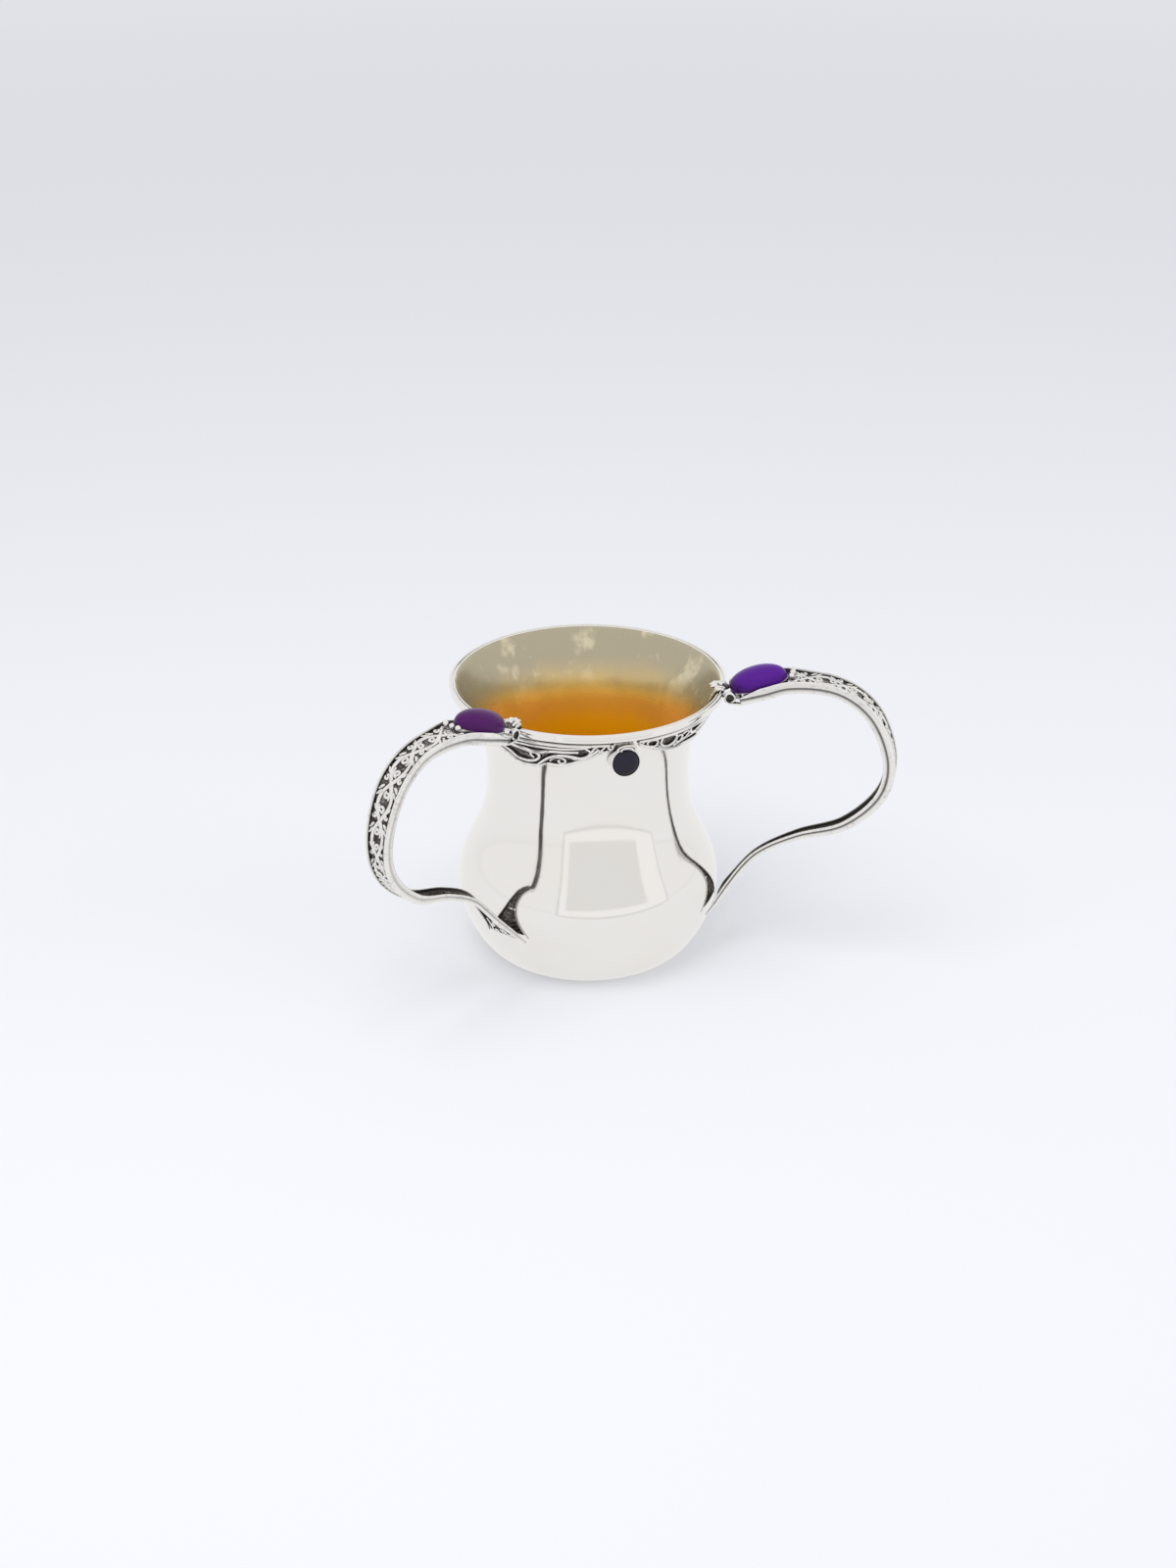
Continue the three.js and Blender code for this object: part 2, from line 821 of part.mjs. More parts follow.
addPiece("cup_body", cupBody(), silver);
addPiece("rim_band", rimBand(), silver);
const front = frontStone();
addPiece("front_setting", front.bezel, silver);
addPiece("front_stone", front.stone, darkStone);
addPiece("front_loop", front.loop, darkSilver);
for (const side of ["left", "right"]) {
  addPiece(side + "_garland", garland(side), darkSilver);
  cup.add(handle(side));
}

export default cup;
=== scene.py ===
"""A silver washing cup with two strap handles, violet stones and a scroll garland."""

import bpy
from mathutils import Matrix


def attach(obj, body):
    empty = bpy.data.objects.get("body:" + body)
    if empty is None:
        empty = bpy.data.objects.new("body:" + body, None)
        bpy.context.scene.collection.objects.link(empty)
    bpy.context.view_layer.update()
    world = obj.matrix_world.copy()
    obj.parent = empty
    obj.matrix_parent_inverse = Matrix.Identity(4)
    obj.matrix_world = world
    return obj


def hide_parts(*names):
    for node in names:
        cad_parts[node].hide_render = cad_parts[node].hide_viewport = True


bl_info = {
    "name": "Silver washing cup",
    "version": (1, 0, 0),
    "blender": (4, 5, 0),
    "location": "View3D > Sidebar > Washing cup",
    "description": "Builds a gilt-lined silver cup with relief strap handles and cabochons",
    "category": "Add Mesh",
}

import math

import bpy
import numpy as np
from bpy.props import FloatProperty, FloatVectorProperty, PointerProperty
from mathutils import Matrix, Vector

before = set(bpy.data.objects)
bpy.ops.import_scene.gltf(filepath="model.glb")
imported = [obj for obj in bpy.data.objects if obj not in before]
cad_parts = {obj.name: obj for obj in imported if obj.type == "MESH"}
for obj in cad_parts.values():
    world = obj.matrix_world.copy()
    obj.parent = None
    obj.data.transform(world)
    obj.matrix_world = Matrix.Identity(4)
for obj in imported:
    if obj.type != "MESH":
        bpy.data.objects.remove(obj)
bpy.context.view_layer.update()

MM = 0.001
SIDES = ("left", "right")


# Sizes and colours


def length(name, value, description):
    return FloatProperty(name=name, description=description, default=value * MM, unit="LENGTH")


def colour(name, value, description):
    return FloatVectorProperty(
        name=name, description=description, default=value, subtype="COLOR", size=3, min=0, max=1
    )


class CupSizes(bpy.types.PropertyGroup):
    height: length("Height", 113.7, "Height of the lip above the base")
    base_radius: length("Base radius", 37, "Radius of the flat base")
    belly_radius: length("Belly radius", 51.9, "Widest radius of the belly")
    belly_height: length("Belly height", 28.2, "Height of the widest part")
    waist_radius: length("Waist radius", 39.7, "Narrowest radius")
    waist_height: length("Waist height", 73, "Height of the narrowest part")
    rim_radius: length("Rim radius", 54, "Radius over the band at the lip")
    lip_radius: length("Lip radius", 52.9, "Radius of the shell at the lip")
    wall: length("Wall", 1.2, "Thickness of the shell")
    band_height: length("Band height", 3, "Height of the band round the lip")


class HandleSizes(bpy.types.PropertyGroup):
    grip_reach: length("Reach", 118.7, "Widest reach of a handle from the cup's axis")
    grip_height: length("Grip height", 89, "Height of the widest point")
    foot_height: length("Foot height", 22, "Height at which a handle meets the belly")
    strap_width: length("Strap width", 17.6, "Width of a strap over both rails at the rim")
    rail_thickness: length("Rail thickness", 1.3, "Thickness of an edge rail")
    rail_height: length("Rail height", 5.2, "Height of an edge rail")
    relief: length("Relief", 0.9, "Depth of the scrollwork above its ground")
    wire: length("Wire", 1.0, "Radius of the scrollwork's wires")
    scroll_radius: length("Scroll radius", 2.75, "Radius of the volute at the rim")
    scroll_bore: length("Scroll bore", 1.1, "Radius of the volute's eye")


class StoneSizes(bpy.types.PropertyGroup):
    length: length("Oval length", 22, "Length of a violet cabochon")
    width: length("Oval width", 14.2, "Width of a violet cabochon")
    rise: length("Oval rise", 8.52, "Height of a violet cabochon over its girdle")
    round_radius: length("Round radius", 5.2, "Radius of the front cabochon")
    round_rise: length("Round rise", 2.6, "Height of the front cabochon over its girdle")
    bead_radius: length("Bead radius", 1.15, "Radius of the beads beyond a stone")


class CupColours(bpy.types.PropertyGroup):
    silver: colour("Silver", (0.86, 0.845, 0.82), "Polished silver")
    oxide: colour("Oxide", (0.055, 0.044, 0.038), "Oxidised silver in the recesses")
    gilt_lip: colour("Gilt at the lip", (0.78, 0.56, 0.22), "Thin pale gilding near the lip")
    gilt_deep: colour("Deep gilt", (1.0, 0.62, 0.01), "Rich gilding deep in the cup")
    amethyst: colour("Amethyst", (0.085, 0.012, 0.24), "Body colour of the violet stones")
    # The violet stones' painted shade, low down on them
    amethyst_deep: colour("Deep amethyst", (0.045, 0.008, 0.1), "Violet near the girdle")
    dark_stone: colour("Dark stone", (0.02, 0.017, 0.032), "Body colour of the front stone")
    backdrop: colour("Backdrop", (0.86, 0.868, 0.905), "Floor and backdrop")
    tent: colour("Tent", (0.935, 0.93, 0.925), "What the silver mirrors")


# Working with objects


def deselect():
    if bpy.context.object and bpy.context.object.mode != "OBJECT":
        bpy.ops.object.mode_set(mode="OBJECT")
    bpy.ops.object.select_all(action="DESELECT")


def choose(piece):
    deselect()
    piece.select_set(True)
    bpy.context.view_layer.objects.active = piece


def edit_mesh(piece, mode="VERT"):
    choose(piece)
    bpy.ops.object.mode_set(mode="EDIT")
    bpy.ops.mesh.select_mode(type=mode)


def modify(piece, kind, **settings):
    choose(piece)
    modifier = piece.modifiers.new(kind.title(), kind)
    for key, value in settings.items():
        setattr(modifier, key, value)
    bpy.ops.object.modifier_apply(modifier=modifier.name)


def soften(piece, level=1, angle=None):
    if level:
        modify(piece, "SUBSURF", levels=level, render_levels=level)
    choose(piece)
    if angle is None:
        bpy.ops.object.shade_smooth()
    else:
        bpy.ops.object.shade_smooth_by_angle(angle=angle)


WELD = 0.002 * MM


def outward(piece):
    """Closes a mesh's seams and turns its faces outwards."""
    edit_mesh(piece)
    bpy.ops.mesh.select_all(action="SELECT")
    bpy.ops.mesh.remove_doubles(threshold=WELD)
    bpy.ops.mesh.normals_make_consistent(inside=False)
    bpy.ops.object.mode_set(mode="OBJECT")


def rest_in_place(piece):
    choose(piece)
    bpy.ops.object.transform_apply(location=True, rotation=True, scale=True)


def joined(pieces):
    deselect()
    for piece in pieces:
        piece.select_set(True)
    bpy.context.view_layer.objects.active = pieces[0]
    bpy.ops.object.join()
    return pieces[0]


def finish(piece, name, slot, *nodes):
    rest_in_place(piece)
    piece.name = name
    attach(piece, "root")
    if nodes:
        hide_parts(*nodes)


def paint(piece, *materials):
    piece.data.materials.clear()
    for material in materials:
        piece.data.materials.append(material)


def reshape(piece, move):
    """Moves every vertex of a piece by a rule on its place."""
    for vertex in piece.data.vertices:
        vertex.co = move(vertex.co)
    piece.data.update()


def bent_bar(sides, cuts, place, tarnish_and_shade=None):
    """A capped bar: place(side, share) gives each corner of its section; the last rule gives how
    black it is painted, as oxide and painted shade.
    """
    deselect()
    bpy.ops.mesh.primitive_grid_add(x_subdivisions=cuts, y_subdivisions=sides, size=2)
    bar = bpy.context.object

    def station(co):
        return round((co.y + 1) / 2 * sides) % sides, (co.x + 1) / 2

    if tarnish_and_shade:
        oxide_and_shade = bar.data.attributes.new("tarnish_and_shade", "FLOAT", "POINT")
        for vertex, mark in zip(bar.data.vertices, oxide_and_shade.data):
            mark.value = tarnish_and_shade(*station(vertex.co))
    reshape(bar, lambda co: place(*station(co)))
    outward(bar)
    edit_mesh(bar, "EDGE")
    bpy.ops.mesh.select_all(action="DESELECT")
    bpy.ops.mesh.select_non_manifold(extend=False)
    bpy.ops.mesh.edge_face_add()
    bpy.ops.object.mode_set(mode="OBJECT")
    outward(bar)
    return bar


def ring(section, around=160, stretch=None):
    """A closed ring with a section of (radius, height) corners, or stretched to an oval."""
    deselect()
    sides = len(section)
    bpy.ops.mesh.primitive_torus_add(
        major_segments=around, minor_segments=sides, major_radius=2, minor_radius=1
    )
    hoop = bpy.context.object
    step = 2 * math.pi / sides

    def corner(co):
        turn = math.atan2(co.y, co.x)
        side = round(math.atan2(co.z, math.hypot(co.x, co.y) - 2) / step) % sides
        radius, height = section[side]
        if stretch:
            return stretch(turn, radius, height)
        return Vector((radius * math.cos(turn), radius * math.sin(turn), height))

    reshape(hoop, corner)
    outward(hoop)
    return hoop


def wirework(strands, roundness=2, smoothness=4):
    """Round wires through lists of (place, radius)."""
    deselect()
    bpy.ops.curve.primitive_bezier_curve_add(location=(0, 0, 0))
    work = bpy.context.object
    curve = work.data
    curve.splines.clear()
    curve.dimensions = "3D"
    curve.bevel_depth = MM
    curve.bevel_resolution = roundness
    curve.resolution_u = smoothness
    curve.use_fill_caps = True
    for strand in strands:
        spline = curve.splines.new("BEZIER")
        spline.bezier_points.add(len(strand) - 1)
        for knot, (place, radius) in zip(spline.bezier_points, strand):
            knot.co = place
            knot.radius = radius / MM
            knot.handle_left_type = "AUTO"
            knot.handle_right_type = "AUTO"
    bpy.ops.object.convert(target="MESH")
    work = bpy.context.object
    bpy.ops.object.shade_smooth()
    return work


def ball(place, radius, stretch=(1, 1, 1)):
    deselect()
    bpy.ops.mesh.primitive_uv_sphere_add(segments=24, ring_count=12, radius=radius, location=place)
    bead = bpy.context.object
    bpy.ops.transform.resize(value=stretch)
    bpy.ops.object.shade_smooth()
    return bead


def steps(first, last, count):
    return [first + (last - first) * i / (count - 1) for i in range(count)]


def curl(x, y, size, begin, turns, hand, tight=0.3, count=10):
    """Points of a flat spiral, in millimetres."""
    points = []
    for share in steps(0, 1, count):
        radius = size * (1 - (1 - tight) * share)
        angle = math.radians(begin) + hand * share * turns * 2 * math.pi
        points.append((x + radius * math.cos(angle), y + radius * math.sin(angle)))
    return points


# Materials


class Number:
    """A number socket that can stand in a sum."""

    def __init__(self, bench, socket):
        self.bench = bench
        self.socket = socket

    def _sum(self, operation, first, second):
        return self.bench.node("ShaderNodeMath", {"operation": operation}, {0: first, 1: second})

    def __add__(self, other):
        return self._sum("ADD", self, other)

    def __radd__(self, other):
        return self._sum("ADD", other, self)

    def __sub__(self, other):
        return self._sum("SUBTRACT", self, other)

    def __rsub__(self, other):
        return self._sum("SUBTRACT", other, self)

    def __mul__(self, other):
        return self._sum("MULTIPLY", self, other)

    def __rmul__(self, other):
        return self._sum("MULTIPLY", other, self)

    def __gt__(self, other):
        return self._sum("GREATER_THAN", self, other)


class Bench:
    """Lays out the nodes of one material or world."""

    def __init__(self, owner):
        owner.use_nodes = True
        self.tree = owner.node_tree
        self.tree.nodes.clear()

    def node(self, kind, settings=None, sockets=None, result=0):
        made = self.tree.nodes.new(kind)
        for key, value in (settings or {}).items():
            setattr(made, key, value)
        for key, value in (sockets or {}).items():
            if isinstance(value, Number):
                self.tree.links.new(value.socket, made.inputs[key])
            else:
                made.inputs[key].default_value = value
        return Number(self, made.outputs[result]) if made.outputs else None

    def blend(self, share, first, second):
        """Mixes two colours, each given as three values or a socket."""
        settings = {"data_type": "RGBA", "clamp_factor": True}
        pair = [part if isinstance(part, Number) else (*part, 1) for part in (first, second)]
        sockets = {0: share, 6: pair[0], 7: pair[1]}
        return self.node("ShaderNodeMix", settings, sockets, result=2)

    def spot(self):
        """The place on the piece, in metres."""
        return self.node("ShaderNodeTexCoord", result="Object")

    def noise(self, scale, detail=2, stretch=(1, 1, 1), rough=0.5):
        sockets = {
            "Vector": self.node("ShaderNodeMapping", {}, {"Vector": self.spot(), "Scale": stretch}),
            "Scale": scale,
            "Detail": detail,
            "Roughness": rough,
        }
        return self.node("ShaderNodeTexNoise", {}, sockets, result="Fac")

    def along(self, axis):
        return self.node("ShaderNodeSeparateXYZ", {}, {0: self.spot()}, result=axis)

    def ease(self, value, low, high):
        """Rises smoothly from 0 at low to 1 at high."""
        sockets = {"Value": value, "From Min": low, "From Max": high}
        return self.node("ShaderNodeMapRange", {"interpolation_type": "SMOOTHSTEP"}, sockets)

    def cavity(self, reach):
        """Falls from 1 in the open to 0 in a crevice narrower than the reach."""
        settings = {"samples": 8, "only_local": False}
        return self.node("ShaderNodeAmbientOcclusion", settings, {"Distance": reach}, result="AO")

    def bump(self, height, depth, strength=1):
        sockets = {"Height": height, "Distance": depth, "Strength": strength}
        return self.node("ShaderNodeBump", {}, sockets, result="Normal")

    def surface(self, **sockets):
        named = {}
        for key, value in sockets.items():
            named[key.replace("_", " ").title().replace("Ior", "IOR")] = value
        shader = self.node("ShaderNodeBsdfPrincipled", {}, named)
        self.node("ShaderNodeOutputMaterial", {}, {"Surface": shader})


def new_material(name):
    material = bpy.data.materials.new(name)
    return material, Bench(material)


def polished_silver(name, base):
    """Bright silver with a hand-polished skin."""
    material, bench = new_material(name)
    cloud = bench.noise(60, 3)
    fine = bench.noise(900, 2, stretch=(1, 1, 0.25))
    wave = bench.noise(38, 1)
    warm = (base[0], base[1] * 0.995, base[2] * 0.975)
    bench.surface(
        base_color=bench.blend(bench.ease(cloud, 0.4, 0.7), base, warm),
        metallic=1.0,
        roughness=0.06 + 0.04 * cloud + 0.02 * fine,
        normal=bench.bump(fine * 0.2 + wave, 0.05 * MM, 0.6),
    )
    return material


def worked_silver(name, bright, dark, reach, gloss, tarnish_and_shade):
    """Silver rubbed bright where it stands proud, black in its crevices and where parts meet: its
    oxide there, and painted shade from ambient occlusion.
    """
    material, bench = new_material(name)
    pores = bench.noise(620, 4, rough=0.65)
    cloud = bench.noise(150, 2)
    # Painted shade: ambient occlusion blackens crevices and places where parts meet, along with the
    # oxide there
    rubbed_and_lit = bench.ease(bench.cavity(reach) + (pores - 0.5) * 0.25, 0.4, 0.86)
    soiled = bench.ease(pores * 0.7 + cloud * 0.3, 0.5, 0.68) * tarnish_and_shade
    # Black painted on the vertices: oxide and painted shade in grooves, on the rails' inner faces
    # and in the scroll eyes
    marked = bench.node("ShaderNodeAttribute", {"attribute_name": "tarnish_and_shade"}, result="Fac")
    bright_share = rubbed_and_lit * (1 - soiled) * (1 - marked)
    bench.surface(
        base_color=bench.blend(bright_share, dark, bright),
        metallic=1.0,
        roughness=gloss + 0.26 * (1 - bright_share) + 0.08 * cloud,
        normal=bench.bump(pores, 0.03 * MM, 0.45),
    )
    return material


def oxidised_silver(name, dark, bright):
    """Blackened silver behind the scrollwork, rubbed a little brighter on its grain."""
    material, bench = new_material(name)
    grain = bench.noise(1100, 3)
    patch = bench.noise(220, 2)
    rubbed = bench.ease(grain * 0.65 + patch * 0.35, 0.46, 0.62)
    bench.surface(
        base_color=bench.blend(rubbed * 0.55, dark, bright),
        metallic=0.8,
        roughness=0.38 + 0.2 * patch,
        normal=bench.bump(grain, 0.1 * MM, 0.8),
    )
    return material


# Heights between which the gilding pales, and between which it wears through and takes painted
# glints
GILT_PALES = (74 * MM, 99 * MM)
GILT_WEARS = (89 * MM, 105 * MM)


def gilding(name, lip, deep):
    """Gold plating that is thin and pale at the lip and rich in the depth of the cup, with painted
    glints where it wears near the top.
    """
    material, bench = new_material(name)
    streak = bench.noise(52, 4, stretch=(1, 1, 0.16), rough=0.6)
    cloud = bench.noise(34, 3)
    dents = bench.noise(120, 3)
    relief = streak * 0.6 + dents * 0.4
    level = bench.along("Z") + (cloud - 0.5) * (11 * MM) + (streak - 0.5) * (6 * MM)
    rich = 1 - bench.ease(level, *GILT_PALES)
    rubbed = tuple(min(1, v * 1.2) for v in lip)
    pale = bench.blend(bench.ease(streak, 0.4, 0.62), lip, rubbed)
    silvery = (lip[0] * 0.59, lip[1] * 0.74, lip[2] * 1.36)
    # Painted highlight: bright patches mixed into the silvery wear near the top stand for glints of
    # reflections
    painted_glint = tuple(v * 1.8 for v in silvery)
    worn_silver_and_glint = bench.blend(bench.ease(relief, 0.51, 0.62) * 0.7, silvery, painted_glint)
    wear_and_glint = bench.blend(bench.ease(level, *GILT_WEARS), pale, worn_silver_and_glint)
    bench.surface(
        base_color=bench.blend(rich, wear_and_glint, deep),
        metallic=0.86 - 0.4 * rich,
        roughness=0.2 + 0.1 * streak,
        specular_ior_level=0.1,
        normal=bench.bump(relief, 0.2 * MM, 0.6),
    )
    return material


# Heights between which the stones' colour changes from a painted shade low down to a lighter,
# painted-lit tone higher up
VIOLET_LEVELS = (113 * MM, 121 * MM)
DARK_LEVELS = (94 * MM, 103 * MM)
# Half width of the stretch across the middle where the left stone's colour gives way to the right's
TWIN_MARGIN = 30 * MM


def gemstone(name, bright, deep, levels, sheen, twin=None):
    """A polished stone with cloudy zones, darker low down and lighter higher up as painted shade
    and light; its left twin may differ.
    """
    material, bench = new_material(name)
    cloud = bench.noise(170, 4, rough=0.6)
    veil = bench.noise(75, 2, stretch=(1, 1, 2))
    level = bench.along("Z") + (cloud - 0.5) * (6 * MM) + (veil - 0.5) * (9 * MM)
    # Painted light and shade: the stone's colour is lighter higher up and darker low down
    lift = bench.ease(level, *levels)
    tone = bench.blend(lift, deep, bright)
    if twin:
        rightwards = bench.ease(bench.along("X"), -TWIN_MARGIN, TWIN_MARGIN)
        tone = bench.blend(rightwards, bench.blend(lift, deep, twin), tone)
    bench.surface(
        base_color=tone,
        roughness=0.13 + 0.08 * cloud,
        specular_ior_level=sheen,
        normal=bench.bump(cloud, 0.03 * MM, 0.3),
    )
    return material


finishes = {}


def toned(tint, share):
    return tuple(v * share for v in tint)


def mix_finishes(scene):
    """Makes the materials; worked silver has a reach for the oxide and painted shade in its
    crevices, a gloss and some random tarnish.
    """
    tint = scene.cup_colours
    silver = tuple(tint.silver)
    black = toned(silver, 0.07)
    finishes["cup"] = polished_silver("polished_silver", silver)
    for name, reach, gloss, tarnish_and_shade in (
        ("rail", 1.8, 0.1, 0.3),
        ("relief", 1.5, 0.13, 0.28),
        ("clasp", 2.8, 0.12, 0.4),
    ):
        finishes[name] = worked_silver(f"{name}_silver", silver, black, reach * MM, gloss, tarnish_and_shade)
    finishes["oxide"] = oxidised_silver("oxidised_silver", tuple(tint.oxide), toned(silver, 0.56))
    finishes["gilt"] = gilding("gilt_inside", tuple(tint.gilt_lip), tuple(tint.gilt_deep))
    # The second colour of each stone is its painted shade, low down on it
    violet, deep = tuple(tint.amethyst), tuple(tint.amethyst_deep)
    twin = (violet[0] * 0.85, violet[1], violet[2] * 0.42)
    finishes["amethyst"] = gemstone("amethyst", violet, deep, VIOLET_LEVELS, 0.1, twin)
    dark = tuple(tint.dark_stone)
    finishes["dark_stone"] = gemstone("dark_stone", dark, toned(dark, 0.5), DARK_LEVELS, 0.22)


# The cup's outline and the two handles' lines


def bezier(knots, count):
    """Points of one curved stretch with two ends and two handles."""
    start, near, far, end = (Vector(knot) for knot in knots)
    points = []
    for t in steps(0, 1, count):
        s = 1 - t
        points.append(s**3 * start + 3 * s * s * t * near + 3 * s * t * t * far + t**3 * end)
    return points


# How far the outline's handles reach, as shares of each stretch's width or height
BASE_OUT, BELLY_DOWN = 0.333, 0.58
BELLY_UP, WAIST_DOWN = 0.38, 0.5
WAIST_UP, LIP_IN, LIP_DOWN = 0.58, 0.516, 0.322


def cup_outline(sizes, count=11):
    """Points (radius, height) from the base to the lip."""
    base, belly = sizes.base_radius, sizes.belly_radius
    waist, lip = sizes.waist_radius, sizes.lip_radius
    low, mid, top = sizes.belly_height, sizes.waist_height, sizes.height
    shoulder, neck = mid - low, top - mid
    stretches = [
        [
            (base, 0),
            (base + BASE_OUT * (belly - base), 0),
            (belly, BELLY_DOWN * low),
            (belly, low),
        ],
        [
            (belly, low),
            (belly, low + BELLY_UP * shoulder),
            (waist, mid - WAIST_DOWN * shoulder),
            (waist, mid),
        ],
        [
            (waist, mid),
            (waist, mid + WAIST_UP * neck),
            (lip - LIP_IN * (lip - waist), top - LIP_DOWN * neck),
            (lip, top),
        ],
    ]
    points = bezier(stretches[0], count)
    for stretch in stretches[1:]:
        points += bezier(stretch, count)[1:]
    return points


def cup_radius(sizes, height):
    line = np.array(cup_outline(sizes, 40))
    return float(np.interp(height, line[:, 1], line[:, 0]))


HANDLE_TURNS = {"right": -30, "left": -150}
# Knots of a handle's line: (out, up) as shares from the rim to the grip, then from grip to foot
UPPER_LINE = (
    (0.1, 0.97),
    (0.24, 1.1),
    (0.414, 1.217),
    (0.696, 1.138),
    (0.898, 0.731),
    (1, 0),
)
LOWER_LINE = (
    (0.951, 0.762),
    (0.747, 0.56),
    (0.473, 0.462),
    (0.239, 0.327),
    (0.075, 0.124),
    (0, 0),
)
# Widths as (share along the line from rim to foot, share of the width at the rim)
UPPER_WIDTHS = (
    (0, 0.98),
    (0.035, 1.07),
    (0.08, 1.04),
    (0.115, 0.86),
    (0.163, 0.7),
    (0.313, 0.655),
    (0.519, 0.472),
)
NARROW_WIDTHS = ((0.74, 0.273), (0.83, 0.22))
FRONT_WIDTHS = (*NARROW_WIDTHS, (0.865, 0.213), (0.9, 0.27))
LOWER_WIDTHS = {
    "right": {
        "front": (*FRONT_WIDTHS, (0.95, 0.62), (1, 1.82)),
        "back": (*NARROW_WIDTHS, (0.9, 0.23), (0.95, 0.29), (1, 0.4)),
    },
    "left": {
        "front": (*FRONT_WIDTHS, (0.95, 0.6), (1, 1.386)),
        "back": ((0.74, 0.34), (0.83, 0.44), (0.9, 0.42), (0.95, 0.5), (1, 0.8)),
    },
}
# Shares of the twist and of the rails' height, along the line
TWISTS = ((0, 0), (0.6, 0), (0.7, 0.8), (0.78, 1), (0.86, 0.7), (0.93, 0), (1, 0))
RAIL_HEIGHTS = (
    (0, 1),
    (0.11, 0.94),
    (0.217, 0.88),
    (0.42, 0.92),
    (0.63, 0.77),
    (0.74, 0.62),
    (0.84, 0.52),
    (0.94, 0.46),
    (1, 0.35),
)
# How far each strap leans aside at the rim, in mm, and the share of the line where that ends
LEANS = {"right": 0, "left": 4}
LEAN_ENDS = 0.3
# How far each clasp sits aside, in mm, and how far each strap twists below the grip, in degrees
CLASP_LEANS = {"right": 0, "left": 6}
LOWER_TWISTS = {"right": 0, "left": 17}
# The stone's setting: how deep it sinks between the rails, its middle's radius and half its length
SETTING_SINKS = {"right": 3.4, "left": 2.5}
SETTING_REACH = 67.5 * MM
SETTING_HALF = 11.7 * MM
# Gaps between the setting and the strip, the foot and the belly, and the strip and the rails
STRIP_GAP, FOOT_GAP, INNER_GAP = 0.3 * MM, 0.3 * MM, 0.1 * MM
# Samples along a line, those of them before it turns back at the grip, and steps between knots
SAMPLES, RISING_SAMPLES, KNOT_STEPS = 401, 130, 40


def eased(pairs, count=SAMPLES):
    """A smooth run of values through (share, value) pairs, at even shares."""
    places, values = zip(*pairs)
    last = len(places) - 1
    run = []
    for share in steps(0, 1, count):
        i = min(last - 1, max(0, int(np.searchsorted(places, share, side="right")) - 1))
        before = i - 1 if i > 0 else i + 1
        after = i + 2 if i + 2 <= last else i
        here, there = places[i], places[i + 1]
        half = (there - here) / 2
        early = half / (here - places[before])
        late = half / (places[after] - there)
        p = (share - here) / (there - here)
        weights = (
            -early * p**3 + 2 * early * p**2 - early * p,
            (1 + early) * p**3 + (-1.5 - 2 * early) * p**2 + (-0.5 + early) * p + 1,
            (-1 - late) * p**3 + (1.5 + late) * p**2 + 0.5 * p,
            late * p**3 - late * p**2,
        )
        near = (values[before], values[i], values[i + 1], values[after])
        run.append(sum(weight * value for weight, value in zip(weights, near)))
    return np.array(run)


def run_through(knots):
    """Close points on a smooth line through knots in a plane."""
    knots = np.array([knots[0], *knots, knots[-1]])
    last = len(knots) - 3
    run = []
    for i in range(1, last + 1):
        before, start, end, after = knots[i - 1 : i + 3]
        out, into = (end - before) / 2, (after - start) / 2
        for t in steps(0, 1, KNOT_STEPS + 1)[: KNOT_STEPS + (i == last)]:
            bend = (2 * start - 2 * end + out + into) * t**3
            bend = bend + (-3 * start + 3 * end - 2 * out - into) * t**2
            run.append(bend + out * t + start)
    return np.array(run)


